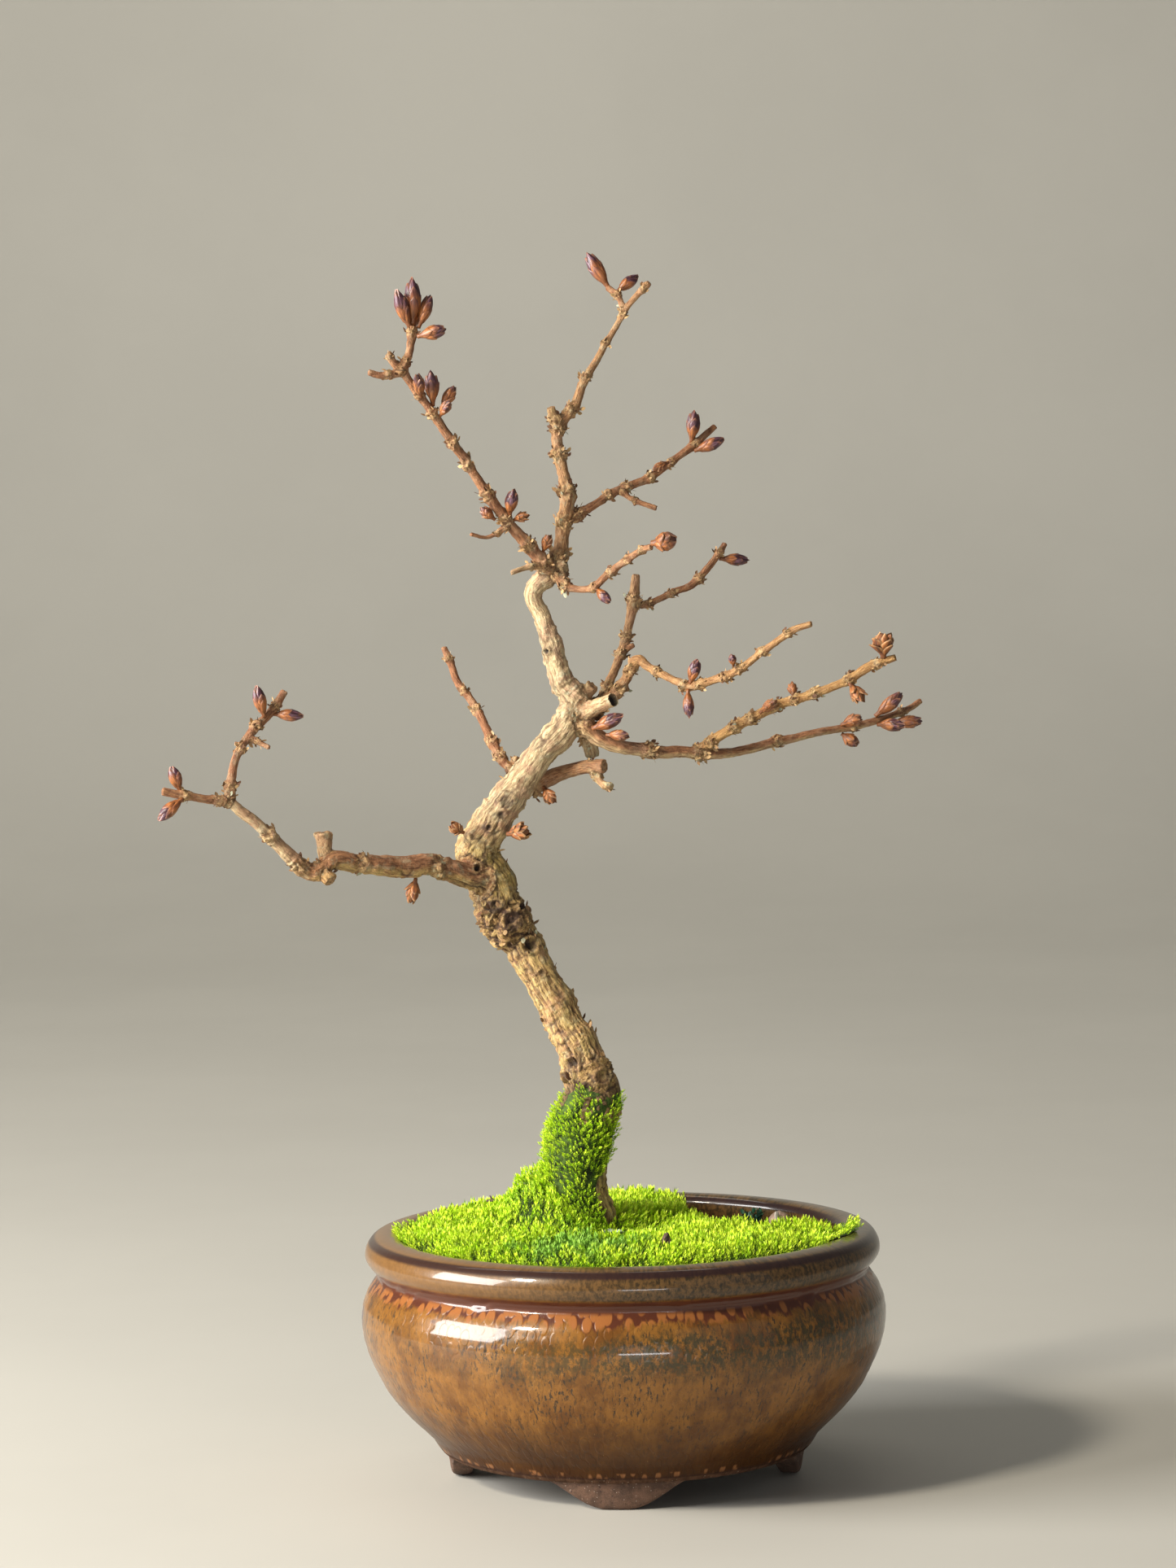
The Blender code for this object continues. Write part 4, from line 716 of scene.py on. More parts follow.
# The surface carries "cover" (how much of the full density), "reach" (size) and "grow" (direction).
def makeScatterTree():
    tree = bpy.data.node_groups.new("scatterOnSurface", "GeometryNodeTree")
    tree.interface.new_socket("Geometry", in_out="INPUT", socket_type="NodeSocketGeometry")
    for label, kind in (
        ("Shape", "Object"), ("Spacing", "Float"), ("Density", "Float"), ("Smallest", "Float"),
        ("Largest", "Float"), ("Tilt", "Float"), ("Seed", "Int"), ("Finish", "Material"),
    ):
        tree.interface.new_socket(label, in_out="INPUT", socket_type="NodeSocket" + kind)
    tree.interface.new_socket("Geometry", in_out="OUTPUT", socket_type="NodeSocketGeometry")
    given = addNode(tree, "NodeGroupInput").outputs
    out = addNode(tree, "NodeGroupOutput")

    def named(name, kind):
        node = addNode(tree, "GeometryNodeInputNamedAttribute", {"Name": name}, data_type=kind)
        return node.outputs["Attribute"]

    def anyFrom(low, high, extra, kind="FLOAT"):
        first, second, result = {"FLOAT": (2, 3, 1), "FLOAT_VECTOR": (0, 1, 0)}[kind]
        seed = calc(tree, "ADD", given["Seed"], float(extra))
        inputs = {first: low, second: high, "Seed": seed}
        return addNode(tree, "FunctionNodeRandomValue", inputs, data_type=kind).outputs[result]

    spread = addNode(
        tree, "GeometryNodeDistributePointsOnFaces",
        {
            "Mesh": given["Geometry"], "Distance Min": given["Spacing"], "Density Max": given["Density"],
            "Density Factor": named("cover", "FLOAT"), "Seed": given["Seed"],
        },
        distribute_method="POISSON",
    )

    shake = anyFrom((-1.0, -1.0, -1.0), (1.0, 1.0, 1.0), 3, "FLOAT_VECTOR")
    shake = addNode(tree, "ShaderNodeVectorMath", {0: shake, "Scale": given["Tilt"]}, operation="SCALE").outputs[0]
    lean = addNode(tree, "ShaderNodeVectorMath", {0: named("grow", "FLOAT_VECTOR"), 1: shake}, operation="ADD")
    stand = addNode(tree, "FunctionNodeAlignRotationToVector", {"Vector": lean.outputs[0]}, axis="Z")
    spin = addNode(tree, "FunctionNodeAxisAngleToRotation", {"Angle": anyFrom(0.0, math.tau, 5)})
    turned = addNode(
        tree, "FunctionNodeRotateRotation", {0: stand.outputs[0], 1: spin.outputs[0]}, rotation_space="LOCAL"
    )

    size = anyFrom(given["Smallest"], given["Largest"], 7)
    size = times(tree, size, named("reach", "FLOAT"))
    shape = addNode(tree, "GeometryNodeObjectInfo", {"Object": given["Shape"]}).outputs["Geometry"]
    copies = addNode(
        tree, "GeometryNodeInstanceOnPoints",
        {"Points": spread.outputs["Points"], "Instance": shape, "Rotation": turned.outputs[0], "Scale": size},
    )
    tinted = addNode(
        tree, "GeometryNodeStoreNamedAttribute",
        {"Geometry": copies.outputs[0], "Name": "tint", "Value": anyFrom(0.0, 1.0, 9)},
        data_type="FLOAT", domain="INSTANCE",
    )
    whole = addNode(tree, "GeometryNodeRealizeInstances", {"Geometry": tinted.outputs[0]})
    painted = addNode(tree, "GeometryNodeSetMaterial", {"Geometry": whole.outputs[0], "Material": given["Finish"]})
    tree.links.new(painted.outputs[0], out.inputs[0])
    return tree


scatterTree = makeScatterTree()


# Copies of a shape over a surface, as one plain mesh. The surface itself is used up.
def scatter(name, surface, shape, material, values):
    modifier = surface.modifiers.new("scatter", "NODES")
    modifier.node_group = scatterTree
    given = {
        "Shape": shape, "Spacing": values["spacing"] * mm, "Density": values["density"] / mm**2,
        "Smallest": values["smallest"], "Largest": values["largest"], "Tilt": values["tilt"],
        "Seed": values["seed"], "Finish": material,
    }
    for item in scatterTree.interface.items_tree:
        if item.in_out == "INPUT" and item.name in given:
            modifier[item.identifier] = given[item.name]
    graph = bpy.context.evaluated_depsgraph_get()
    mesh = bpy.data.meshes.new_from_object(surface.evaluated_get(graph))
    mesh.name = name
    piece = bpy.data.objects.new(name, mesh)
    bpy.context.scene.collection.objects.link(piece)
    bpy.data.objects.remove(surface)
    return piece


# A shape to be copied: kept out of the scene, drawn round the origin in real size
def templateShape(name, points, faces, attributes=None):
    mesh = bpy.data.meshes.new(name)
    mesh.from_pydata((np.asarray(points, float) * mm).tolist(), [], [tuple(face) for face in faces])
    for key, values in (attributes or {}).items():
        setAttribute(mesh, key, values)
    mesh.polygons.foreach_set("use_smooth", [True] * len(mesh.polygons))
    return bpy.data.objects.new(name, mesh)


budValues = {
    "pairs": 5,
    "scaleLength": 0.5,  # of the bud
    "scaleLift": 0.10,  # of its radius, at a scale's tip
    "columns": 7,
    "rows": 7,
}
# base beside the twig, tip, radius, then how dry and open it is, from 0 to 1
buds = {
    "bud_top_left": ((0, 8, 268), (-5.5, 9, 277), 1.9, 0.0),
    "bud_top_right": ((4.5, 8, 266.5), (9.5, 10, 270.5), 1.6, 0.0),
    "bud_crown_right_up": ((24, 16, 223), (25, 15, 231), 1.8, 0.0),
    "bud_crown_right_out": ((26, 15, 221), (33.5, 14, 223.5), 1.7, 0.0),
    "bud_crown_right_low": ((19, 12, 218), (15, 9, 216), 1.2, 0.6),
    "bud_crown_left_tip": ((-53.5, -20, 257), (-53, -20, 268.5), 2.1, 0.0),
    "bud_crown_left_outer": ((-55, -21, 256), (-58.3, -22.5, 265), 1.8, 0.0),
    "bud_crown_left_inner": ((-51.3, -19.5, 256), (-48.3, -17.5, 264), 1.7, 0.1),
    "bud_crown_left_side": ((-51, -22, 252.5), (-44, -23.5, 254), 1.8, 0.1),
    "bud_crown_left_back": ((-53.5, -17.5, 255), (-53.5, -14.5, 261), 1.4, 0.2),
    "bud_left_cluster_tall": ((-48.5, -18, 233), (-48.5, -20.5, 241.5), 1.8, 0.1),
    "bud_left_cluster_outer": ((-51.5, -19, 234), (-52, -24, 239.5), 1.4, 0.2),
    "bud_left_cluster_inner": ((-45.5, -17, 233.5), (-42, -17, 238.5), 1.5, 0.3),
    "bud_left_cluster_low": ((-46, -19, 231), (-43.5, -22.5, 234.5), 1.3, 0.2),
    "bud_left_lower_tall": ((-28, -9, 202.5), (-27, -11, 209), 1.7, 0.0),
    "bud_left_lower_inner": ((-26.5, -8, 201.5), (-22.5, -9, 203), 1.2, 0.8),
    "bud_left_lower_outer": ((-31.5, -9, 201), (-35, -10, 204), 1.4, 0.3),
    "bud_crown_base": ((-18.5, -3.5, 193), (-16.5, -5.5, 197), 1.3, 0.5),
    "bud_small_right_tip": ((12.5, -22, 194), (18.5, -24, 194.5), 2.4, 0.35),
    "bud_small_right_low": ((-3.5, -10, 181), (0, -13, 177.5), 1.4, 0.0),
    "bud_upright_side_tip": ((33, 28, 189.5), (40.5, 30, 189), 1.6, 0.0),
    "bud_zigzag_up": ((22, -13, 155.5), (24, -14, 161.5), 1.6, 0.0),
    "bud_zigzag_down": ((21, -13.5, 152), (21, -15, 145), 1.4, 0.0),
    "bud_zigzag_small": ((33.5, -20.5, 160), (33, -22, 163), 1.0, 0.0),
    "bud_fork_upper": ((-4.5, -6, 143), (3, -9, 146), 1.9, 0.0),
    "bud_fork_lower": ((-1, -6, 140.5), (4.5, -9, 140.5), 1.4, 0.3),
    "bud_main_fork": ((30, 3, 136.8), (34, 0.5, 140), 1.3, 0.6),
    "bud_second_back": ((51, -3, 150.5), (50.5, -1, 154.5), 1.1, 0.5),
    "bud_main_up": ((66, 17.5, 141.5), (71, 15.5, 143.5), 1.5, 0.4),
    "bud_main_down": ((66.5, 18.5, 138), (70.5, 18, 135), 1.6, 0.4),
    "bud_main_tip_up": ((77, 22, 144.5), (84, 21, 150), 1.8, 0.15),
    "bud_main_tip_front": ((77.5, 21, 141), (84, 17.5, 141), 1.7, 0.1),
    "bud_main_tip_low": ((82, 24, 141.5), (89.5, 24, 141.5), 1.6, 0.2),
    "bud_second_tip": ((75.5, -16, 162), (75, -17.5, 168), 2.3, 1.0),
    "bud_second_low": ((67, -12.5, 153), (70, -15, 148.5), 1.7, 0.8),
    "bud_left_big_left": ((-97, -24.5, 149), (-99, -25.5, 156.5), 1.7, 0.0),
    "bud_left_big_right": ((-93, -22.5, 148.5), (-86, -22.5, 148), 1.6, 0.0),
    "bud_left_end_up": ((-119.5, -36.5, 129), (-121.5, -37, 135), 1.7, 0.0),
    "bud_left_end_down": ((-119.5, -37.5, 125.5), (-125.5, -39, 120.5), 1.7, 0.0),
    "bud_left_big_low": ((-56.5, -12, 100.5), (-58, -13, 94.5), 1.6, 0.8),
    "bud_collar_left": ((-43.5, -3.5, 114), (-46.5, -6.5, 116), 1.5, 0.8),
    "bud_collar_right": ((-29.5, -3, 113), (-24, -5.5, 114), 1.9, 1.0),
    "bud_stub_base": ((-19.5, 2, 125), (-17, 0, 121), 1.5, 0.7),
}
budOutline = ((0.0, 0.12, 0.35, 0.58, 0.78, 0.92, 1.0), (0.45, 0.66, 0.98, 1.0, 0.72, 0.36, 0.04))


# One scale: a curved leaf hugging the bud, its edges tucked in, its tip standing a little off
def budScale(start, finish, turn, half, lift, length, radius, shade):
    rows, columns = budValues["rows"], budValues["columns"]
    points, along, edge = [], [], []
    for t in np.linspace(0, 1, rows):
        a = lerp(start, finish, t)
        width = half * (1 - t**2.6) ** 0.6 * (0.75 + 0.25 * math.sin(math.pi * min(1, t * 1.3)))
        for c in np.linspace(-1, 1, columns):
            rise = 0.07 + lift * t**2 - 0.26 * abs(c) ** 5 - 0.12 * (t == 0)
            out = radius * (np.interp(min(a, 1.0), *budOutline) + rise)
            angle = turn + c * width
            points.append((out * math.cos(angle), out * math.sin(angle), a * length))
            along.append(a)
            edge.append(max(abs(c) ** 2, t**3) * (t > 0.3))
    shades = np.full(len(points), shade)
    return points, gridFaces(rows, columns), along, edge, shades


def makeBud(name, rng):
    base, tip, radius, dry = buds[name]
    low, high = (np.array(corner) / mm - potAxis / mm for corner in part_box(name))
    axis = np.array(tip, float) - np.array(base, float)
    length = np.linalg.norm(axis)
    axis /= length
    foot = (low + high) / 2 - axis * length / 2
    turns, rows = 10, 13
    share = np.linspace(-0.16, 1.0, rows)
    body = []
    for a in share:
        out = radius * (0.9 * np.interp(a, *budOutline) if a >= 0 else 0.36)
        for turn in np.arange(turns) * math.tau / turns:
            body.append((out * math.cos(turn), out * math.sin(turn), a * length))
    points, faces = [np.array(body)], gridFaces(rows, turns, closed=True)
    faces += [tuple(reversed(range(turns))), tuple(range(len(body) - turns, len(body)))]
    along, edge = list(np.repeat(share, turns)), [0.0] * len(body)
    shades = [0.3] * len(body)
    start = rng.uniform(0, math.pi)
    for pair in range(budValues["pairs"]):
        low = 0.13 * pair + rng.uniform(-0.02, 0.02)
        high = min(1.02, low + budValues["scaleLength"] * rng.uniform(0.85, 1.1))
        for side in (0, math.pi):
            turn = start + pair * math.pi / 2 + side + rng.uniform(-0.15, 0.15)
            lift = budValues["scaleLift"] * (1 + pair * 0.2) + dry * rng.uniform(0.2, 0.9)
            half = math.radians(rng.uniform(74, 88)) * (1 - 0.3 * dry)
            made = budScale(low, high, turn, half, lift, length, radius, rng.random())
            faces += [tuple(corner + sum(len(part) for part in points) for corner in face) for face in made[1]]
            points.append(np.array(made[0]))
            along += made[2]
            edge += made[3]
            shades += list(made[4])
    points = np.vstack(points)
    side = unit(np.cross(axis, (0.2, 1.0, 0.1)))
    other = np.cross(axis, side)
    bend = rng.uniform(-0.05, 0.05) * points[:, 2] ** 2 / length
    placed = foot + side * (points[:, [0]] + bend[:, None]) + other * points[:, [1]] + axis * points[:, [2]]
    turn = np.arctan2(points[:, 1], points[:, 0])
    attributes = {
        "along": along, "edge": edge, "tint": shades, "dry": np.full(len(points), dry),
        "fibre": np.c_[np.cos(turn) * 1.6, np.sin(turn) * 1.6, np.array(along) * 2.0 + np.array(shades) * 9],
    }
    piece = newPiece(name + "_scales", placed, faces, budMaterial, attributes)
    return keepPiece(piece, "bud", name)


mossValues = {
    "shootHeight": 4.2,
    "leafLength": 1.45,
    "leafWidth": 0.42,
    "leaves": 11,
    "spacing": 0.78,
    "density": 2.9,
    "smallest": 0.62,
    "largest": 1.38,
    "tilt": 0.33,
    "sunk": 3.3,  # the shoots' feet, below the moss's own surface
}
trunkMossValues = {"seed": 5, "density": 3.6, "spacing": 0.68, "smallest": 0.6, "largest": 1.15, "tilt": 0.36}
mouthRadius = 62.4
gapAngle, gapSpread, gapDepth = math.radians(38.0), math.radians(30.0), 31.0
trunkFoot = np.array([-8.5, 0.0])


def mossTop(x, y):
    near = 1 - smoothStep(0, mouthRadius - abs(trunkFoot[0]), np.hypot(x - trunkFoot[0], y - trunkFoot[1]))
    mound = 15.0 * np.exp(-((x + 20.0) ** 2 + (y + 1) ** 2) / 12.0**2)
    ripple = 0.5 * np.sin(x / 7.0 + 1.0) * np.cos(y / 6.0)
    edge = smoothStep(0, 12.0, mouthRadius - np.hypot(x, y))
    hollow = 6.5 * np.exp(-((x - 3.0) ** 2 + (y + 12) ** 2) / 13.0**2)
    lowRight = 1.8 * smoothStep(8, 42, x) * smoothStep(-42, -8, y)
    lowRight = lowRight + 3.8 * np.exp(-((x - 40.0) ** 2 + (y - 13) ** 2) / 10.0**2)
    return rimLevel + 0.5 + 1.6 * edge + 2.6 * near + mound - hollow - lowRight + ripple * edge


def gapPull(angle):
    turn = np.mod(angle - gapAngle + math.pi, math.tau) - math.pi
    return gapDepth * np.exp(-(np.abs(turn / gapSpread) ** 2.6))


# The carpet's edge leans out over the lip, most at the right
def mossEdge(angle):
    lean = 6.0 * np.exp(-((np.mod(angle + 0.16 + math.pi, math.tau) - math.pi) / 0.32) ** 2)
    lean += 1.6 * np.exp(-((np.mod(angle, math.tau) - math.pi) / 0.4) ** 2)
    return mouthRadius - 0.8 - gapPull(angle) + lean


def makeShoot():
    height, points, faces, along = mossValues["shootHeight"], [], [], []
    for k in range(mossValues["leaves"]):
        share = k / (mossValues["leaves"] - 1)
        turn, up = k * 2.4, lerp(0.1, 0.76, share) * height
        spread = math.radians(lerp(52, 16, share))
        length, width = mossValues["leafLength"] * lerp(1.0, 0.8, share), mossValues["leafWidth"] / 2
        out = np.array((math.cos(turn), math.sin(turn), 0.0))
        side = np.array((-math.sin(turn), math.cos(turn), 0.0))
        lift = np.array((0, 0, 1.0))
        foot = lift * up
        middle = foot + (out * math.sin(spread) * 1.15 + lift * math.cos(spread)) * length * 0.45
        tip = foot + (out * math.sin(spread) * 0.85 + lift * math.cos(spread)) * length
        first = len(points)
        points += [foot, middle + side * width - lift * 0.08, tip, middle - side * width - lift * 0.08]
        faces += [(first, first + 1, first + 2), (first, first + 2, first + 3)]
        along += [up / height, (up + length * 0.4) / height, (up + length) / height, (up + length * 0.4) / height]
    return templateShape("mossShoot", points, faces, {"along": np.clip(along, 0, 1)})


# A patch of ground on which the shoots stand, from two angles round the trunk's side of the pot
def carpetGround(name, fromAngle, toAngle, material):
    rings, turns = 46, 72
    angles = np.linspace(fromAngle, toAngle, turns)
    points = []
    for share in np.linspace(0.0, 1.0, rings) ** 0.8:
        reach = mossEdge(angles) * share
        x, y = reach * np.cos(angles), reach * np.sin(angles)
        z = mossTop(x, y) - mossValues["sunk"]
        bumps = noiseAt(np.c_[x / 7, y / 7, x * 0], 21) * 0.9 + noiseAt(np.c_[x / 2.6, y / 2.6, x * 0], 22) * 0.45
        over = smoothStep(mouthRadius - 1.0, mouthRadius + 2.0, reach)
        dip = smoothStep(7.0, 22.0, gapPull(angles)) * smoothStep(13.0, 0.0, mossEdge(angles) - reach)
        z = np.maximum(z + bumps * (1 - over) - 4.0 * dip, rimLevel - 3.4 + over * 3.5 - 2.5 * dip)
        points.append(np.c_[x, y, z])
    points = np.vstack(points)
    reach = np.hypot(points[:, 0], points[:, 1])
    out = np.c_[points[:, :2] / np.maximum(reach, 1e-6)[:, None], np.zeros(len(points))]
    edge = smoothStep(mouthRadius - 9, mouthRadius + 2, reach)
    fromTrunk = points[:, :2] - trunkFoot
    away = np.hypot(fromTrunk[:, 0], fromTrunk[:, 1])
    slope = smoothStep(26, 8, away)
    aside = np.c_[fromTrunk / np.maximum(away, 1e-6)[:, None], np.zeros(len(points))]
    drift = np.c_[noiseAt(points / 9, 23), noiseAt(points / 9, 24), np.zeros(len(points))]
    grow = np.array((0, 0, 1.0)) + out * (edge * 0.75)[:, None] + aside * (slope * 0.6)[:, None] + drift * 0.3
    patch = noiseAt(np.c_[points[:, :2] / 5.5, np.zeros(len(points))], 25)
    attributes = {
        "grow": grow,
        "cover": np.clip(smoothStep(6.3, 7.2, away) * (0.8 + 0.5 * patch), 0, 1),
        "reach": 1.0 + 0.16 * patch - 0.25 * edge,
    }
    return newPiece(name, points, gridFaces(rings, turns), material, attributes)


# The ground of the moss that climbs the trunk, open at the back right
sleeveValues = {
    "low": -2.0, "high": 39.5,  # from the rim
    "start": math.radians(48), "ends": (300, 345),  # round the trunk; the ends are at the foot and at the top
    "footSpread": 11.0,
    "bareAngle": math.radians(262),
}


def sleeveGround(name, material, wood):
    rows, turns = 40, 60
    points, cover, reach, grow = [], [], [], []
    lower = wood.columns["route"] == 0
    centres, radii = wood.columns["centre"][lower], wood.columns["radius"][lower]
    for climb in np.linspace(0, 1, rows):
        for share in np.linspace(0, 1, turns):
            end = math.radians(lerp(*sleeveValues["ends"], smoothStep(0.35, 0.6, climb)))
            angle = lerp(sleeveValues["start"], end, share)
            spoke = np.array((math.cos(angle), math.sin(angle), 0.0))
            left = 0.5 + 0.5 * math.cos(angle - math.radians(195))
            level = rimLevel + lerp(sleeveValues["low"], sleeveValues["high"] + 1.5 * math.sin(angle * 3 + 1), climb)
            spot = int(np.argmin(np.abs(centres[:, 2] - level)))
            belly = math.exp(-(((climb - 0.62) / 0.2) ** 2))
            thick = lerp(0.1, 1.5, left) * (1 - climb**5) + 0.7 * belly * (1 - left)
            thick = thick + sleeveValues["footSpread"] * left**2 * (1 - climb) ** 2.6
            patch = noiseAt([(angle * 2.2, climb * 5, 3.0)], 27)[0]
            bare = math.exp(-(((angle - sleeveValues["bareAngle"]) / 0.15) ** 2) - ((climb - 0.83) / 0.065) ** 2)
            place = centres[spot] * (1, 1, 0) + (0, 0, level)
            points.append(place + spoke * (radii[spot] * 0.98 + thick - 3.0 * bare))
            shadeSide = smoothStep(math.radians(283), math.radians(300), angle) * smoothStep(0.48, 0.36, climb)
            ragged = smoothStep(1.02, 0.8, climb + 0.22 * noiseAt([(angle * 4, 0.0, 1.0)], 28)[0])
            cover.append(np.clip((1.05 + 0.6 * patch) * (1 - 1.4 * bare) * (1 - shadeSide) * ragged, 0, 1))
            reach.append(0.78 + 0.15 * patch - 0.24 * smoothStep(0.75, 1.0, climb))
            grow.append(spoke * lerp(0.85, 0.6, climb) + np.array((0, 0, 0.75)))
    attributes = {"grow": np.array(grow), "cover": np.array(cover), "reach": np.array(reach)}
    return newPiece(name, np.array(points), gridFaces(rows, turns), material, attributes)


def copyOf(piece, name):
    twin = piece.copy()
    twin.data = piece.data.copy()
    twin.name = name
    bpy.context.scene.collection.objects.link(twin)
    return twin


def makeMoss(wood):
    shoot = makeShoot()
    halves = {"left": (math.pi / 2, 3 * math.pi / 2), "right": (-math.pi / 2, math.pi / 2)}
    for seed, (side, (fromAngle, toAngle)) in enumerate(halves.items()):
        ground = carpetGround("moss_ground_" + side, fromAngle, toAngle, mossGroundMaterial)
        field, values = copyOf(ground, "carpetField"), {**mossValues, "seed": seed + 1}
        shoots = scatter("moss_shoots_" + side, field, shoot, mossMaterial, values)
        nodes = ("moss_carpet",) if seed == 0 else ()
        print("moss", side, keepPiece(ground, "moss", *nodes), keepPiece(shoots, "moss"))
    ground = sleeveGround("trunk_moss_ground", mossGroundMaterial, wood)
    field, values = copyOf(ground, "sleeveField"), {**mossValues, **trunkMossValues}
    shoots = scatter("trunk_moss_shoots", field, shoot, mossMaterial, values)
    print("moss on the trunk", keepPiece(ground, "moss", "trunk_moss"), keepPiece(shoots, "moss"))


potValues = {
    "columns": 440,
    "baseRadius": 50.8,
    "throwingRings": 0.04,
    "glazeEnd": (9.5, 10.1),
    "footTurn": -93.5,
    "footOuter": (49.6, 51.0),  # at the table and at the top
    "footThickness": 7.0,
    "footSpan": 23.6,
    "footTop": 9.0,
}
# A foot's outer face from its top to its lower edge: (share of the height, how far it is rounded in)
footFace = ((1, 0), (7 / 9, 0), (0.5, 0), (2.5 / 9, 0), (1.3 / 9, 0.05), (0.5 / 9, 0.35), (0.12 / 9, 0.9), (0, 1.6))
# (radius, height) outside, from the base up and over the lip, then inside down to the floor
potOutside = [
    (50.2, 7.5), (51.0, 7.7), (52.3, 8.2), (53.5, 9.6), (54.5, 11.1), (55.4, 12.6), (57.0, 14.2),
    (59.4, 16.5), (62.4, 19.4), (65.4, 22.8), (68.2, 26.5), (70.3, 30.6), (72.0, 34.1), (73.2, 37.0),
    (74.4, 41.5), (74.8, 46.0), (74.3, 50.0), (72.9, 53.6), (71.2, 56.3), (69.7, 57.9), (69.6, 58.8),
    (70.4, 59.9), (71.9, 61.2), (73.1, 62.9), (73.4, 64.6), (73.1, 66.0), (72.5, 67.0), (72.0, 68.0),
    (71.2, 68.9), (69.8, 69.5), (67.8, 69.9), (65.8, 70.0), (64.2, 69.6), (63.1, 68.8), (62.5, 67.4),
]
potInside = [
    (62.4, 64.0), (63.6, 60.5), (64.6, 57.5), (68.2, 53.0), (69.3, 46.0), (67.6, 36.0), (62.7, 26.4),
    (56.4, 18.5), (54.0, 14.2), (52.0, 12.6), (40.0, 12.5), (8.4, 12.5), (8.0, 12.1), (8.0, 7.9), (8.4, 7.5),
]


def resampled(outline, step):
    line = np.array(outline, float)
    at = np.concatenate([[0], np.cumsum(np.linalg.norm(np.diff(line, axis=0), axis=1))])
    count = int(at[-1] / step)
    even = np.column_stack([np.interp(np.linspace(0, at[-1], count), at, line[:, i]) for i in (0, 1)])
    for _ in range(3):
        even[1:-1] += 0.5 * ((even[:-2] + even[2:]) / 2 - even[1:-1])
    return even


def makePot():
    outside = resampled(potOutside, 0.62)
    inside = resampled([potOutside[-1], *potInside], 2.6)
    bottom = resampled([potInside[-1], (30.0, 7.5), potOutside[0]], 4.0)
    profile = np.vstack([outside, inside[1:], bottom[1:-1]])
    rows, columns = len(profile), potValues["columns"]
    turn = np.arange(columns) * math.tau / columns
    radius = np.repeat(profile[:, 0], columns)
    level = np.repeat(profile[:, 1], columns)
    angle = np.tile(turn, rows)
    wall = np.c_[np.cos(angle) * 60, np.sin(angle) * 60, level]
    outer = np.repeat(np.arange(rows) < len(outside), columns)
    shown = smoothStep(9, 14, level) * outer
    rings = np.sin(level * 1.9 + 0.8 * np.sin(angle)) * potValues["throwingRings"]
    wobble = noiseAt(wall * (0.03, 0.03, 0.05), 31) * 0.25
    hang = noiseAt(wall * (0.16, 0.16, 0.0), 32)
    hang = 58.6 - 2.4 * smoothStep(0.15, 0.75, hang)
    drip = smoothStep(0.9, -0.3, np.abs(level - hang - 0.6)) * 0.5 * (level < 61) * outer
    radius = radius + (rings + wobble - 0.2) * shown * 0.6 + drip
    points = np.c_[radius * np.cos(angle), radius * np.sin(angle), level]
    quads = gridFaces(rows, columns, closed=True)
    last = (rows - 1) * columns
    quads += [(last + i, last + (i + 1) % columns, (i + 1) % columns, i) for i in range(columns)]
    mouth = np.repeat(np.arange(rows) < len(outside) + 4, columns)
    attributes = {
        "wall": wall,
        "glazed": smoothStep(*potValues["glazeEnd"], level + 0.25 * noiseAt(wall / 2.2, 33)) * mouth,
    }
    piece = newPiece("glazed_pot", points, quads, None, attributes)
    piece.data.materials.append(glazeMaterial)
    return keepPiece(piece, "glaze", "pot")


def makeFeet():
    parts, top = [], potValues["footTop"]
    for i in range(4):
        middle = math.radians(potValues["footTurn"] + 90 * i)
        points = []
        spans = np.linspace(-potValues["footSpan"], potValues["footSpan"], 61)
        for across in spans:
            low = 8.6 * smoothStep(1.5, 22.5, abs(across)) ** 1.35
            angle = middle + across / potValues["baseRadius"]
            section = []
            inner = potValues["baseRadius"] - potValues["footThickness"]
            for rise, pull in footFace:
                z = lerp(low, top, rise)
                section.append((lerp(*potValues["footOuter"], z / 8.0) - pull * (1 - low / top), z))
            section += [(inner + 1.4, low), (inner + 0.4, low + 0.3)]
            section += [(inner, low + 1.2 * (1 - low / top)), (inner, top)]
            for outer, z in section:
                points.append((outer * math.cos(angle), outer * math.sin(angle), z))
        wide = len(section)
        faces = gridFaces(len(spans), wide, closed=True)
        faces += [tuple(range(wide)), tuple(reversed(range(len(points) - wide, len(points))))]
        parts.append((points, faces))
    points, faces = joined(parts)
    points[:, :2] *= (1 + 0.0022 * noiseAt(points / 1.8, 35) * smoothStep(0.0, 1.5, points[:, 2]))[:, None]
    piece = turnOutwards(newPiece("pot_feet", points, faces, clayMaterial, {"wall": points}))
    return keepPiece(piece, "glaze")


soilValues = {
    "spacing": 1.0, "density": 1.1, "smallest": 0.5, "largest": 1.5, "tilt": 1.0, "seed": 8,
}


def soilTop(x, y):
    near = 1 - smoothStep(0, mouthRadius - abs(trunkFoot[0]), np.hypot(x - trunkFoot[0], y - trunkFoot[1]))
    return rimLevel - 7.5 + 8.0 * near


def lump(size, seed, sides=12, rings=8, rough=0.16):
    points, faces = ballSolid((0.0, 0.0, 0.0), 1.0, sides, rings)
    points = points * (1 + rough * noiseAt(points * 1.7 + 5, seed) + 0.5 * rough * noiseAt(points * 4, seed))[:, None]
    return points * np.array(size) / 2, faces


def boxOf(node):
    low, high = (np.array(corner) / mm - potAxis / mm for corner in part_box(node))
    return low, high


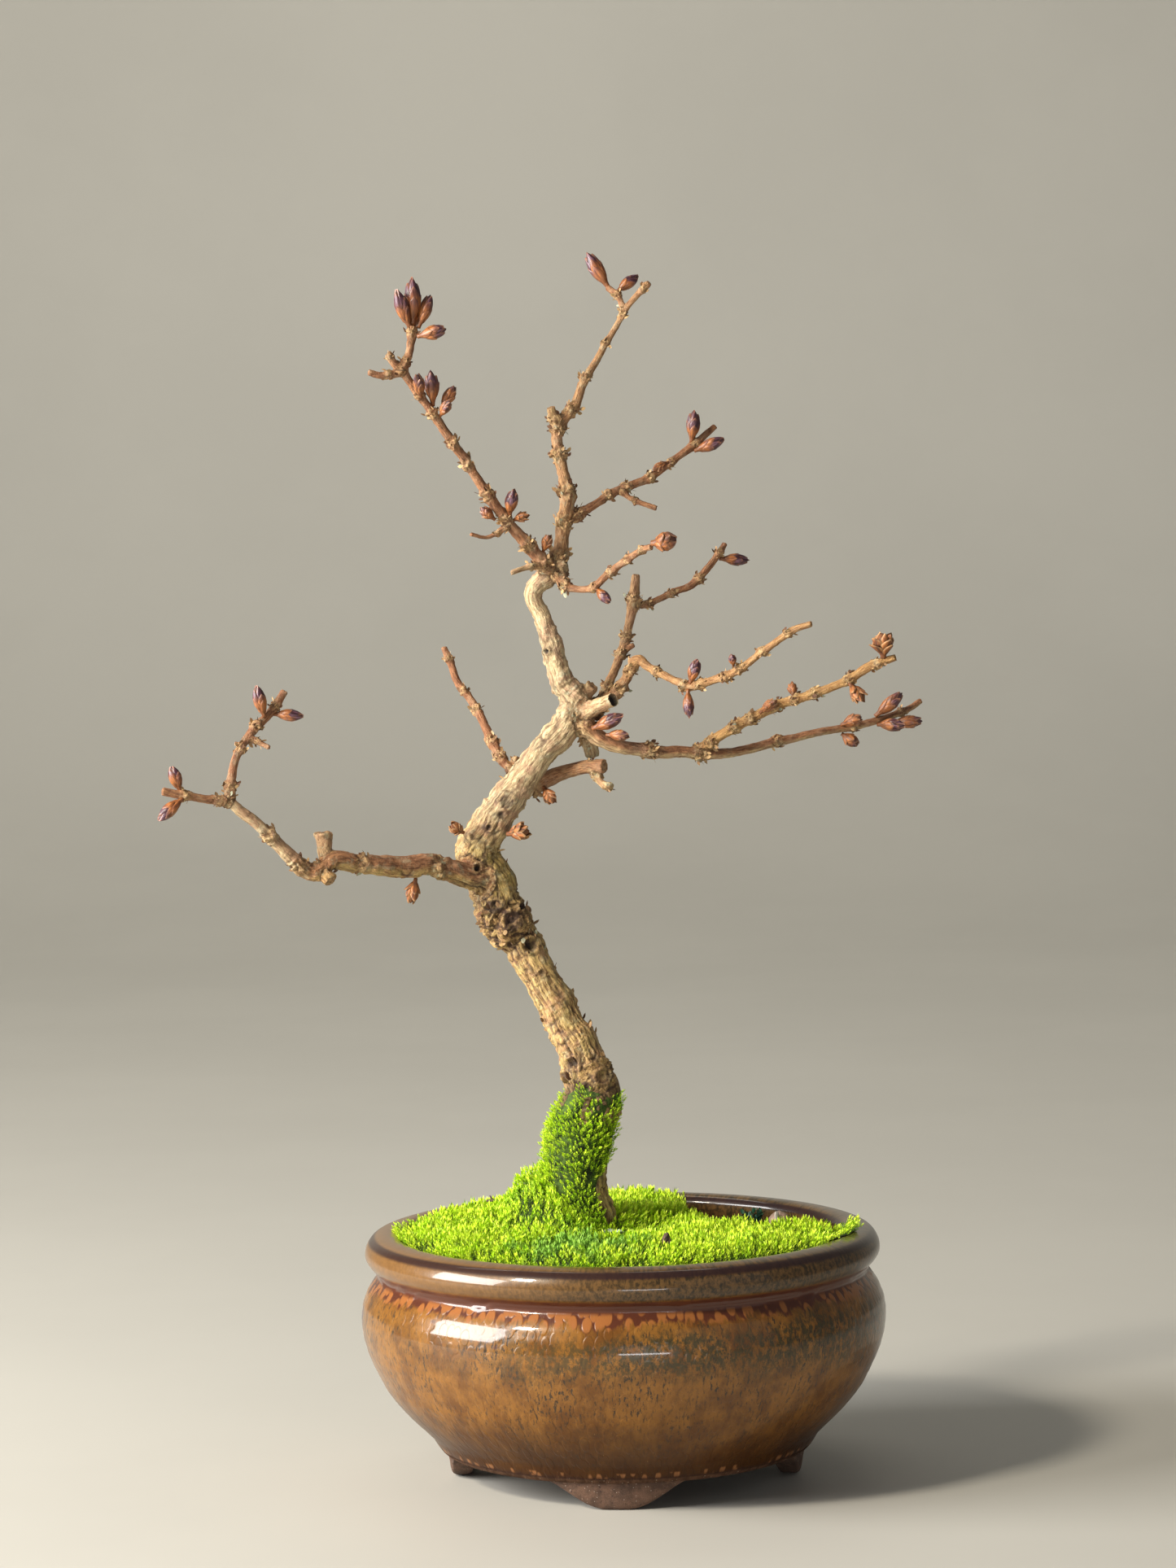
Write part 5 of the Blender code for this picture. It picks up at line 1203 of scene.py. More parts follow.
def makeSoil():
    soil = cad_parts["soil"]
    soil.data.materials.clear()
    soil.data.materials.append(soilMaterial)
    angles = np.linspace(gapAngle - 0.75, gapAngle + 0.75, 40)
    points = []
    for reach in np.linspace(34, 61.2, 24):
        x, y = reach * np.cos(angles), reach * np.sin(angles)
        points.append(np.c_[x, y, soilTop(x, y) + 0.2 + 0.5 * noiseAt(np.c_[x / 3, y / 3, x * 0], 41)])
    points = np.vstack(points)
    ones = np.ones(len(points))
    attributes = {"grow": np.tile((0.0, 0.0, 1.0), (len(points), 1)), "cover": ones, "reach": ones}
    field = newPiece("soilField", points, gridFaces(24, 40), None, attributes)
    grain = templateShape("soilGrain", *lump((1.5, 1.1, 0.9), 42, 6, 4, 0.3))
    grit = scatter("soil_grit", field, grain, soilMaterial, soilValues)
    return keepPiece(grit, "soil")


# Brings a loose bit onto the moss as drawn here
def onMoss(low, high, sunk):
    middle = (low + high) / 2
    middle[2] = mossTop(middle[0], middle[1]) - mossValues["sunk"] + mossValues["shootHeight"] - sunk
    return middle


def makePebble():
    low, high = boxOf("pebble")
    middle, size = (low + high) / 2, high - low
    stone, faces = lump(size * (0.8, 0.8, 1.0), 43, 28, 18, 0.08)
    stone = stone * np.where(stone[:, [2]] < 0, (1, 1, 0.7), (1, 1, 1)) + middle + (-0.6, 0, -0.4)
    chip, chipFaces = lump((1.4, 1.4, 4.6), 44, 10, 8, 0.25)
    chip = chip + middle + np.array((-size[0] * 0.2, -size[1] * 0.42, 0.9))
    points, faces = joined([(stone, faces), (chip, chipFaces)])
    white = np.concatenate([np.zeros(len(stone)), np.ones(len(chip))])
    piece = newPiece("round_pebble", points, faces, pebbleMaterial, {"white": white})
    return keepPiece(piece, "pebble", "pebble")


# A small curved leaf from its foot, for lichen lobes, seedling scales and bark flakes
def leafBlade(foot, out, up, length, width, curl, rows=5, columns=5):
    side = np.cross(up, out)
    points = []
    for t in np.linspace(0, 1, rows):
        for c in np.linspace(-1, 1, columns):
            spread = width / 2 * math.sin(math.pi * min(1, 0.12 + t * 0.86)) ** 0.7
            place = foot + out * length * t + up * curl * length * t * t
            points.append(place + side * c * spread + up * 0.18 * spread * c * c)
    return points, gridFaces(rows, columns)


def makeSeedling():
    low, high = boxOf("moss_seedling")
    middle = (low + high) / 2
    rng, parts, tints = random.Random(52), [], []
    for stem in range(7):
        turn = rng.uniform(0, math.tau)
        aside = np.array((math.cos(turn), math.sin(turn), 0)) * rng.uniform(0.2, 1.6)
        root = np.array((middle[0], middle[1], low[2])) + aside
        lean = unit(np.array((math.cos(turn) * 0.55, math.sin(turn) * 0.55, 1.0)))
        for k in range(9):
            around = k * 2.4 + stem
            side = unit(np.cross(lean, (math.cos(around), math.sin(around), 0.1)))
            out = unit(side + lean * 0.75)
            up = unit(np.cross(out, np.cross(lean, out)))
            parts.append(leafBlade(root + lean * (0.8 + k * 0.6), out, up, 1.6, 1.15, 0.25))
            tints += [0.25 + 0.5 * (stem == 3)] * 25
    points, faces = joined(parts)
    piece = newPiece("seedling_leaves", points, faces, seedlingMaterial, {"tint": tints})
    return keepPiece(piece, "seedling", "moss_seedling")


def makeLichen():
    low, high = boxOf("lichen_tuft")
    middle, size = onMoss(low, high, 0.1), high - low
    rng, parts = random.Random(53), []
    for k in range(26):
        turn = k * 2.4
        reach = 0.15 + 0.5 * k / 26
        out = unit(np.array((math.cos(turn), math.sin(turn) * 0.8, 0.35 - 0.3 * reach)))
        up = np.array((0, 0, 1.0))
        foot = middle + out * reach * 2.2
        blade, faces = leafBlade(foot, out, up, rng.uniform(1.8, 2.8), rng.uniform(1.7, 2.6), 0.2, 7, 7)
        blade = np.array(blade)
        blade[:, 2] += 0.3 * noiseAt(blade / 0.5, 54)
        parts.append((blade, faces))
    points, faces = joined(parts)
    points[:, :2] = (points[:, :2] - middle[:2]) * np.minimum(1, size[:2] / 9.0 + 0.1) + middle[:2]
    piece = newPiece("lichen_lobes", points, faces, lichenMaterial)
    return keepPiece(piece, "lichen", "lichen_tuft")


def makeChipAndTwig():
    low, high = boxOf("bark_chip")
    size = high - low
    points, faces = lump(size * (0.5, 0.7, 1.5), 45, 9, 7, 0.45)
    points = points + onMoss(low, high, -0.4)
    piece = newPiece("bark_chip_dark", points, faces, chipMaterial, {"barkPlace": points}, smooth=False)
    first = keepPiece(piece, "chip", "bark_chip")
    low, high = boxOf("fallen_twig")
    middle = onMoss(low, high, -0.7)
    route = np.array([(-3.2, 1.2, 0.6), (-1.4, 0.3, 0.9), (0.8, -0.3, 0.6), (2.2, 0.2, 0.3), (3.2, -0.4, 0.2)])
    parts = [tubeSolid(route + middle, [0.3, 0.45, 0.4, 0.35, 0.25], 8)]
    for side, radii in (
        ([(-1.2, 0.2, 0.9), (-1.9, 0.4, 1.6), (-2.2, 0.8, 2.2)], [0.3, 0.25, 0.15]),
        ([(1.0, -0.3, 0.6), (1.9, -0.9, 1.2)], [0.25, 0.15]),
    ):
        parts.append(tubeSolid(np.array(side) + middle, radii, 7))
    points, faces = joined(parts)
    piece = newPiece("fallen_twig_bits", points, faces, chipMaterial, {"barkPlace": points})
    return first + keepPiece(piece, "chip", "fallen_twig")


# Bark flakes, dry bud scales and torn tufts at the joints
flakeValues = {
    "spacing": 0.75, "density": 1.6, "smallest": 0.5, "largest": 1.3, "tilt": 0.55, "seed": 12,
    "length": 1.3, "width": 0.9,
}


def makeFlakes(points, normals, quads, attributes, look):
    burl = np.linalg.norm(points - burlPlace - (0, 0, rimLevel), axis=1)
    cover = 0.7 * attributes["joint"] ** 1.8 * smoothStep(3.2, 2.2, look["radius"])
    trunk = (look["route"] == 0) * smoothStep(0.0, 0.5, noiseAt(points / 3.5, 63)) * (points[:, 2] < rimLevel + 112)
    cover = np.maximum(cover, 0.16 * trunk)
    onBurl = smoothStep(10, 6, burl) * smoothStep(-0.2, 0.5, noiseAt(points / 2.6, 62))
    cover = np.clip(cover + 0.5 * onBurl, 0, 1)
    cover *= points[:, 2] > rimLevel + 41
    cover *= 1 - attributes["cutFace"]
    chosen = cover[quads].mean(1) > 0.04
    used, faces = np.unique(quads[chosen], return_inverse=True)
    lift = 0.75 - 0.4 * trunk + 0.4 * noiseAt(points / 2, 61)
    held = {
        "grow": (normals * lift[:, None] + look["tangent"] * 0.85)[used],
        "cover": cover[used],
        "reach": np.clip(0.6 + look["radius"] * 0.22, 0.55, 1.3)[used],
    }
    field = newPiece("flakeField", points[used], faces.reshape(-1, 4), None, held)
    size = flakeValues["length"], flakeValues["width"]
    blade, bladeFaces = leafBlade(np.zeros(3), np.array((0, 0, 1.0)), np.array((1.0, 0, 0)), *size, 0.25, 4, 3)
    flake = templateShape("barkFlake", blade, bladeFaces)
    flakes = scatter("bark_flakes", field, flake, flakeMaterial, flakeValues)
    return keepPiece(flakes, "bark")


def makeGlaze():
    material, tree, shader = newMaterial(
        "amber_glaze", Roughness=0.3, IOR=1.45, Specular_IOR_Level=0.3,
        Coat_Weight=0.5, Coat_Roughness=0.06, Coat_IOR=1.5,
    )
    wall = attributeOf(tree, "wall", "Vector")
    parts = addNode(tree, "ShaderNodeSeparateXYZ", {0: wall}).outputs
    level = parts[2]
    drift = calc(tree, "SUBTRACT", noiseOf(tree, wall, 0.07, 4.0), 0.5)
    ragged = calc(tree, "SUBTRACT", noiseOf(tree, stretched(tree, wall, (1, 1, 0.25)), 0.9, 4.0), 0.5)
    swayed = timesPlus(tree, drift, 14.0, level)
    swayed = timesPlus(tree, ragged, 8.0, swayed)
    tone = noiseOf(tree, stretched(tree, wall, (1, 1, 0.7)), 0.16, 6.0, 0.65)
    body = blend(tree, rangeOf(tree, tone, 0.34, 0.64), (0.125, 0.047, 0.008), (0.25, 0.106, 0.018))
    # painted shade: the glaze darkens towards the foot, under the belly
    lowerBellyShade = rangeOf(tree, swayed, 8.0, 33.0)
    body = blend(tree, lowerBellyShade, (0.050, 0.019, 0.006), body)
    # the olive band on the shoulder, in vertical mottles
    bandLow, bandHigh = rangeOf(tree, swayed, 36.0, 45.0), rangeOf(tree, swayed, 55.0, 50.0)
    band = times(tree, bandLow, bandHigh)
    broken = rangeOf(tree, noiseOf(tree, stretched(tree, wall, (1, 1, 0.55)), 0.8, 6.0, 0.75), 0.40, 0.56)
    toRight = rangeOf(tree, parts[0], -50.0, 5.0, 0.25, 1.0)
    band = times(tree, times(tree, band, broken), toRight)
    body = blend(tree, times(tree, band, 0.95), body, (0.045, 0.037, 0.015))
    # dark fleck running down the wall
    fleck = noiseOf(tree, stretched(tree, wall, (1, 1, 0.35)), 1.5, 3.0, 0.65)
    fleck = rangeOf(tree, fleck, 0.54, 0.62)
    where = rangeOf(tree, noiseOf(tree, wall, 0.09, 3.0), 0.35, 0.6, 0.3, 1.0)
    fleck = times(tree, times(tree, fleck, where), rangeOf(tree, level, 10.0, 34.0, 0.35, 0.95))
    body = blend(tree, fleck, body, (0.035, 0.024, 0.014))
    fine = rangeOf(tree, noiseOf(tree, wall, 3.2, 2.0), 0.55, 0.75, 0.0, 0.4)
    body = blend(tree, fine, body, (0.08, 0.034, 0.012))
    dots = speckle(tree, wall, 0.75, 0.14, 0.13)
    dots = times(tree, dots, rangeOf(tree, level, 44.0, 24.0, 0.1, 0.6))
    body = blend(tree, dots, body, (0.50, 0.29, 0.13))
    # iron-dark patches of thick glaze under the neck
    thick = rangeOf(tree, noiseOf(tree, wall, 0.11, 2.0), 0.64, 0.70)
    thick = times(tree, thick, times(tree, rangeOf(tree, level, 43, 47), rangeOf(tree, level, 57, 53)))
    thick = times(tree, thick, rangeOf(tree, parts[0], -12.0, -30.0))
    body = blend(tree, thick, body, (0.055, 0.028, 0.035))
    # neck: a dark red line with rounded drips along it
    bent = blend(tree, 0.12, wall, noiseOf(tree, wall, 0.4, 2.0), "LINEAR_LIGHT")
    cells = cellsOf(tree, stretched(tree, bent, (0.46, 0.46, 0.26)), 1.0)
    drops = rangeOf(tree, cells, 0.62, 0.48)
    hung = timesPlus(tree, ragged, 6.0, timesPlus(tree, drift, 5.0, level))
    neck = times(tree, rangeOf(tree, hung, 54.4, 56.0), rangeOf(tree, level, 61.6, 60.6))
    inDrops = times(tree, drops, rangeOf(tree, level, 58.4, 57.0))
    neckColour = blend(tree, inDrops, (0.080, 0.022, 0.010), (0.28, 0.10, 0.026))
    body = blend(tree, neck, body, neckColour)
    # lip: olive-brown and finely mottled, dark where the glaze breaks over its edge
    mottled = noiseOf(tree, stretched(tree, wall, (1, 1, 0.6)), 1.1, 5.0, 0.7)
    lip = blend(tree, rangeOf(tree, mottled, 0.38, 0.62), (0.030, 0.020, 0.009), (0.125, 0.066, 0.022))
    amber = rangeOf(tree, parts[0], 10.0, -50.0, 0.0, 0.6)
    lip = blend(tree, amber, lip, (0.24, 0.115, 0.035))
    body = blend(tree, rangeOf(tree, level, 60.8, 61.8), body, lip)
    edge = times(tree, rangeOf(tree, level, 66.9, 67.9), rangeOf(tree, level, 69.4, 68.9))
    body = blend(tree, times(tree, edge, 0.9), body, (0.022, 0.009, 0.010))
    # bare clay where the glaze ends, after a row of beads
    clay = mottle(tree, wall, 0.4, (0.095, 0.05, 0.03), 0.6)
    grit = speckle(tree, wall, 1.6, 0.3, 0.25)
    clay = blend(tree, grit, clay, (0.4, 0.32, 0.25))
    # painted shadow: the bare clay just above the feet darkened where they meet it
    clay = blend(tree, rangeOf(tree, level, 8.8, 9.6, 0.0, 0.85), clay, (0.03, 0.015, 0.012))
    glazed = attributeOf(tree, "glazed")
    beads = cellsOf(tree, stretched(tree, wall, (0.42, 0.42, 0.2)), 1.0)
    beads = times(tree, rangeOf(tree, beads, 0.46, 0.30), rangeOf(tree, level, 11.5, 10.8))
    body = blend(tree, times(tree, beads, 0.6), body, (0.36, 0.155, 0.06))
    wire(tree, shader, Base_Color=blend(tree, glazed, clay, body))
    wire(tree, shader, Specular_IOR_Level=rangeOf(tree, level, 14.0, 42.0, 0.06, 0.3))
    wire(tree, shader, Roughness=rangeOf(tree, glazed, 0.0, 1.0, 0.9, 0.28))
    wire(tree, shader, Coat_Weight=times(tree, glazed, rangeOf(tree, level, 12.0, 40.0, 0.1, 0.5)))
    peel = noiseOf(tree, wall, 0.45, 3.0)
    height = timesPlus(tree, inDrops, 0.8, times(tree, peel, 0.35))
    height = timesPlus(tree, fleck, -0.12, height)
    height = timesPlus(tree, beads, 0.4, height)
    wire(tree, shader, Normal=bumpOf(tree, height, 0.3, 0.3 * mm))
    return material


def makeClay():
    material, tree, shader = newMaterial("bare_clay", Roughness=0.88)
    wall = attributeOf(tree, "wall", "Vector")
    clay = mottle(tree, wall, 0.35, (0.105, 0.055, 0.033), 0.6)
    clay = blend(tree, speckle(tree, wall, 1.5, 0.35, 0.22), clay, (0.45, 0.37, 0.30))
    clay = blend(tree, speckle(tree, wall, 0.9, 0.3, 0.3), clay, (0.05, 0.025, 0.018))
    level = addNode(tree, "ShaderNodeSeparateXYZ", {0: wall}).outputs[2]
    # painted shadow: the tops of the feet darkened where they meet the pot's underside
    clay = blend(tree, rangeOf(tree, level, 7.9, 8.8, 0.0, 0.8), clay, (0.03, 0.015, 0.012))
    wire(tree, shader, Base_Color=clay)
    rough = noiseOf(tree, wall, 1.9, 5.0, 0.7)
    wire(tree, shader, Normal=bumpOf(tree, rough, 0.8, 0.3 * mm))
    return material


def makeBark():
    material, tree, shader = newMaterial("bark", Roughness=0.78)
    place = attributeOf(tree, "barkPlace", "Vector")
    streak, height = grain(tree, place, 1.0)
    young, golden = attributeOf(tree, "young"), attributeOf(tree, "golden")
    joint, crevice = attributeOf(tree, "joint"), attributeOf(tree, "crevice")
    tone = rangeOf(tree, streak, 0.36, 0.64)
    old = blend(tree, tone, (0.19, 0.092, 0.034), (0.75, 0.50, 0.185))
    patch = noiseOf(tree, place, 0.22, 3.0)
    old = blend(tree, rangeOf(tree, patch, 0.5, 0.66, 0.0, 0.6), old, (0.42, 0.215, 0.11))
    old = blend(tree, rangeOf(tree, patch, 0.48, 0.34, 0.0, 0.45), old, (0.62, 0.47, 0.17))
    cream = blend(tree, tone, (0.25, 0.145, 0.075), (0.78, 0.61, 0.36))
    cream = blend(tree, rangeOf(tree, patch, 0.50, 0.60, 0.0, 0.55), cream, (0.50, 0.29, 0.18))
    old = blend(tree, attributeOf(tree, "pale"), old, cream)
    red = blend(tree, tone, (0.115, 0.036, 0.018), (0.36, 0.135, 0.062))
    red = blend(tree, rangeOf(tree, patch, 0.52, 0.64, 0.0, 0.5), red, (0.48, 0.28, 0.16))
    gold = blend(tree, tone, (0.26, 0.115, 0.033), (0.54, 0.30, 0.095))
    olive = times(tree, attributeOf(tree, "olive"), rangeOf(tree, patch, 0.4, 0.6, 0.35, 0.9))
    old = blend(tree, olive, old, blend(tree, tone, (0.15, 0.10, 0.02), (0.42, 0.32, 0.08)))
    bark = blend(tree, young, old, red)
    bark = blend(tree, golden, bark, gold)
    scaly = noiseOf(tree, place, 1.3, 4.0, 0.7)
    scales = blend(tree, rangeOf(tree, scaly, 0.42, 0.6), (0.15, 0.07, 0.03), (0.62, 0.42, 0.19))
    knob = calc(tree, "POWER", joint, 2.4)
    bark = blend(tree, times(tree, knob, 0.7), bark, scales)
    lichen = timesPlus(tree, joint, 0.12, times(tree, attributeOf(tree, "lichen"), 0.9))
    spots = noiseOf(tree, place, 0.45, 5.0, 0.7)
    lichen = calc(tree, "MULTIPLY", rangeOf(tree, spots, 0.5, 0.66), lichen, clamp=True)
    bark = blend(tree, lichen, bark, (0.52, 0.54, 0.36))
    dark = rangeOf(tree, noiseOf(tree, stretched(tree, place, (1, 1, 0.3)), 1.1, 4.0, 0.7), 0.60, 0.72, 0.0, 0.65)
    bark = blend(tree, dark, bark, (0.10, 0.05, 0.028))
    # painted shade: bark darkened in its grooves, cracks, burl dips and knot pits; the knot rings and wet band in the
    # same mask are the bark's own dark
    bark = blend(tree, times(tree, crevice, 0.95), bark, (0.060, 0.028, 0.016))
    sawn = blend(tree, rangeOf(tree, scaly, 0.4, 0.6), (0.20, 0.105, 0.05), (0.50, 0.30, 0.14))
    bark = blend(tree, attributeOf(tree, "cutFace"), bark, sawn)
    # painted shade: knot pits and the inside of the hollow stub's end near black
    bark = blend(tree, attributeOf(tree, "hollow"), bark, (0.018, 0.011, 0.009))
    wire(tree, shader, Base_Color=bark)
    wire(tree, shader, Roughness=rangeOf(tree, streak, 0.3, 0.7, 0.85, 0.6))
    height = timesPlus(tree, scaly, times(tree, attributeOf(tree, "rough"), 0.8), height)
    wire(tree, shader, Normal=bumpOf(tree, height, 1.0, 0.9 * mm))
    return material


def makeFlakeBark():
    material, tree, shader = newMaterial("bark_flakes", Roughness=0.8)
    tint = attributeOf(tree, "tint")
    place = placeOf(tree)
    bark = blend(tree, rangeOf(tree, tint, 0.15, 0.75, smooth=False), (0.13, 0.06, 0.03), (0.52, 0.34, 0.16))
    bark = blend(tree, rangeOf(tree, tint, 0.93, 0.97), bark, (0.36, 0.37, 0.26))
    bark = blend(tree, rangeOf(tree, noiseOf(tree, place, 900.0, 3.0), 0.5, 0.7, 0.0, 0.6), bark, (0.30, 0.14, 0.07))
    return finished(material, tree, shader, bark, noiseOf(tree, place, 1800.0, 3.0), 0.6, 0.3)


def makeBudFinish():
    material, tree, shader = newMaterial("bud_scale", Roughness=0.42, Coat_Weight=0.15, Coat_Roughness=0.3)
    along, edge = attributeOf(tree, "along"), attributeOf(tree, "edge")
    tint, dry = attributeOf(tree, "tint"), attributeOf(tree, "dry")
    fibre = attributeOf(tree, "fibre", "Vector")
    streak = noiseOf(tree, stretched(tree, fibre, (1, 1, 0.4)), 2.2, 4.0, 0.6)
    brown = blend(tree, rangeOf(tree, streak, 0.35, 0.65), (0.17, 0.050, 0.016), (0.46, 0.165, 0.045))
    purple = blend(tree, rangeOf(tree, streak, 0.35, 0.65), (0.030, 0.008, 0.014), (0.115, 0.035, 0.052))
    ripe = timesPlus(tree, tint, 0.35, along)
    ripe = calc(tree, "SUBTRACT", ripe, times(tree, dry, 0.9))
    bud = blend(tree, rangeOf(tree, ripe, 0.45, 0.85), brown, purple)
    bloom = times(tree, rangeOf(tree, streak, 0.5, 0.66), rangeOf(tree, ripe, 0.55, 0.95))
    bud = blend(tree, times(tree, bloom, 0.4), bud, (0.36, 0.24, 0.33))
    rim = blend(tree, dry, (0.34, 0.15, 0.085), (0.50, 0.30, 0.14))
    bud = blend(tree, rangeOf(tree, edge, 0.35, 0.9, 0.0, 0.75), bud, rim)
    # painted shade: the bud's core and the scales' bases, where the scales overlap, darkened
    bud = blend(tree, rangeOf(tree, edge, 0.0, 0.12, 0.45, 0.0), bud, (0.05, 0.016, 0.008))
    dark = times(tree, dry, rangeOf(tree, streak, 0.5, 0.38))
    bud = blend(tree, times(tree, dark, 0.7), bud, (0.11, 0.05, 0.03))
    wire(tree, shader, Base_Color=bud)
    wire(tree, shader, Roughness=rangeOf(tree, dry, 0.0, 1.0, 0.4, 0.75))
    wire(tree, shader, Normal=bumpOf(tree, streak, 0.5, 0.25 * mm))
    return material


def makeMossFinish():
    material, tree, shader = newMaterial("moss", Roughness=0.55, Specular_IOR_Level=0.25)
    along, tint = attributeOf(tree, "along"), attributeOf(tree, "tint")
    place = placeOf(tree)
    low = blend(tree, tint, (0.06, 0.14, 0.006), (0.11, 0.24, 0.008))
    high = blend(tree, tint, (0.46, 0.74, 0.012), (0.78, 0.93, 0.06))
    moss = blend(tree, rangeOf(tree, along, 0.18, 0.80), low, high)
    wide = noiseOf(tree, place, 95.0, 3.0)
    moss = blend(tree, rangeOf(tree, wide, 0.52, 0.68, 0.0, 0.4), moss, (0.22, 0.50, 0.03))
    moss = blend(tree, rangeOf(tree, along, 0.88, 1.0, 0.0, 0.45), moss, (0.86, 0.96, 0.25))
    # another, bluer kind of moss in front of the trunk
    patch = addNode(tree, "ShaderNodeVectorMath", {0: place, 1: (0.006, -0.041, 0.071)}, operation="SUBTRACT")
    patch = stretched(tree, patch.outputs[0], (46.0, 62.0, 110.0))
    patch = addNode(tree, "ShaderNodeVectorMath", {0: patch}, operation="LENGTH").outputs["Value"]
    patch = timesPlus(tree, calc(tree, "SUBTRACT", noiseOf(tree, place, 160.0, 4.0, 0.7), 0.5), 2.4, patch)
    dark = blend(tree, rangeOf(tree, along, 0.2, 0.9), (0.022, 0.075, 0.012), (0.17, 0.43, 0.07))
    moss = blend(tree, rangeOf(tree, patch, 1.05, 0.6, 0.0, 0.75), moss, dark)
    return finished(material, tree, shader, moss, noiseOf(tree, place, 1500.0, 2.0), 0.3, 0.2)


def makeMossGround():
    material, tree, shader = newMaterial("moss_ground", Roughness=0.9)
    place = placeOf(tree)
    tone = noiseOf(tree, place, 420.0, 5.0, 0.7)
    ground = blend(tree, rangeOf(tree, tone, 0.35, 0.65), (0.014, 0.022, 0.004), (0.07, 0.13, 0.012))
    ground = blend(tree, rangeOf(tree, noiseOf(tree, place, 900.0), 0.6, 0.75, 0.0, 0.7), ground, (0.13, 0.085, 0.03))
    return finished(material, tree, shader, ground, tone, 1.0, 1.0)


def makeSoilFinish():
    material, tree, shader = newMaterial("soil", Roughness=0.92)
    place = placeOf(tree)
    soil = mottle(tree, place, 260.0, (0.055, 0.036, 0.024), 0.8)
    soil = blend(tree, speckle(tree, place, 600.0, 0.3, 0.35), soil, (0.02, 0.013, 0.01))
    soil = blend(tree, speckle(tree, place, 420.0, 0.12, 0.3), soil, (0.22, 0.14, 0.085))
    return finished(material, tree, shader, soil, noiseOf(tree, place, 1100.0, 5.0, 0.7), 1.0, 0.6)


def makePebbleFinish():
    material, tree, shader = newMaterial("pebble", Roughness=0.6)
    place = placeOf(tree)
    stone = mottle(tree, place, 300.0, (0.40, 0.27, 0.20), 0.5)
    stone = blend(tree, speckle(tree, place, 1400.0, 0.3, 0.3), stone, (0.16, 0.10, 0.07))
    stone = blend(tree, attributeOf(tree, "white"), stone, (0.58, 0.52, 0.45))
    return finished(material, tree, shader, stone, noiseOf(tree, place, 1500.0, 4.0), 0.5, 0.3)


def makeLichenFinish():
    material, tree, shader = newMaterial("lichen", Roughness=0.9)
    place = placeOf(tree)
    lichen = mottle(tree, place, 500.0, (0.36, 0.46, 0.30), 0.6)
    lichen = blend(tree, speckle(tree, place, 1600.0, 0.25, 0.3), lichen, (0.66, 0.72, 0.6))
    return finished(material, tree, shader, lichen, noiseOf(tree, place, 1700.0, 4.0), 0.8, 0.3)


def makeChipFinish():
    material, tree, shader = newMaterial("dark_chip", Roughness=0.8)
    streak, height = grain(tree, attributeOf(tree, "barkPlace", "Vector"), 0.6)
    chip = blend(tree, rangeOf(tree, streak, 0.4, 0.65), (0.022, 0.014, 0.012), (0.15, 0.085, 0.055))
    return finished(material, tree, shader, chip, height, 0.9, 0.4)


def makeSeedlingFinish():
    material, tree, shader = newMaterial("seedling", Roughness=0.5)
    place = placeOf(tree)
    leaf = blend(tree, attributeOf(tree, "tint"), (0.02, 0.10, 0.025), (0.10, 0.26, 0.22))
    leaf = blend(tree, rangeOf(tree, noiseOf(tree, place, 900.0), 0.5, 0.7, 0.0, 0.5), leaf, (0.10, 0.30, 0.06))
    return finished(material, tree, shader, leaf, noiseOf(tree, place, 1600.0), 0.4, 0.2)


def makeNetFinish():
    material, tree, shader = newMaterial("black_net", Roughness=0.55)
    place = placeOf(tree)
    net = mottle(tree, place, 180.0, (0.028, 0.028, 0.03), 0.5)
    net = blend(tree, speckle(tree, place, 900.0, 0.2, 0.25), net, (0.12, 0.09, 0.065))
    return finished(material, tree, shader, net, noiseOf(tree, place, 1500.0, 3.0), 0.3, 0.1)


def makeWireFinish():
    material, tree, shader = newMaterial("aluminium_wire", Metallic=1.0, Roughness=0.35)
    place = placeOf(tree)
    metal = mottle(tree, place, 400.0, (0.55, 0.53, 0.5), 0.25)
    wire(tree, shader, Base_Color=metal, Roughness=rangeOf(tree, noiseOf(tree, place, 900.0), 0.3, 0.7, 0.28, 0.5))
    scratches = noiseOf(tree, stretched(tree, place, (0.1, 1, 1)), 2500.0)
    wire(tree, shader, Normal=bumpOf(tree, scratches, 0.25, 0.1 * mm))
    return material


glazeMaterial, clayMaterial = makeGlaze(), makeClay()
barkMaterial, flakeMaterial, budMaterial = makeBark(), makeFlakeBark(), makeBudFinish()
mossMaterial, mossGroundMaterial, soilMaterial = makeMossFinish(), makeMossGround(), makeSoilFinish()
pebbleMaterial, lichenMaterial, chipMaterial = makePebbleFinish(), makeLichenFinish(), makeChipFinish()
seedlingMaterial, netMaterial, wireMaterial = makeSeedlingFinish(), makeNetFinish(), makeWireFinish()


studioValues = {
    "floorColour": (0.50, 0.485, 0.44),
    # name: (place, width, height, power, colour)
    "lights": {
        "window": ((-1.05, -0.30, 0.46), 0.70, 0.50, 26.0, (0.98, 0.97, 0.95)),
        "key": ((-0.95, -0.80, 1.05), 0.22, 0.22, 21.0, (1.0, 0.91, 0.76)),
        "fill": ((1.3, -1.2, 0.7), 1.4, 1.4, 1.5, (0.90, 0.95, 1.0)),
        "strip": ((0.20, -1.35, 0.10), 0.50, 0.08, 2.4, (0.95, 0.97, 1.0)),
    },
    "backdropLight": ((-0.3, 0.9, 1.9), 1.6, 1.0, 19.0, (1.0, 0.97, 0.88)),
    "worldColour": (0.80, 0.80, 0.78), "worldStrength": 0.17,
    "cameraPlace": (-7.41, -1149.94, 254.16),  # from the pot's axis
    "cameraDown": 2.872, "cameraRoll": -1.059,
    "lens": 93.4,
}


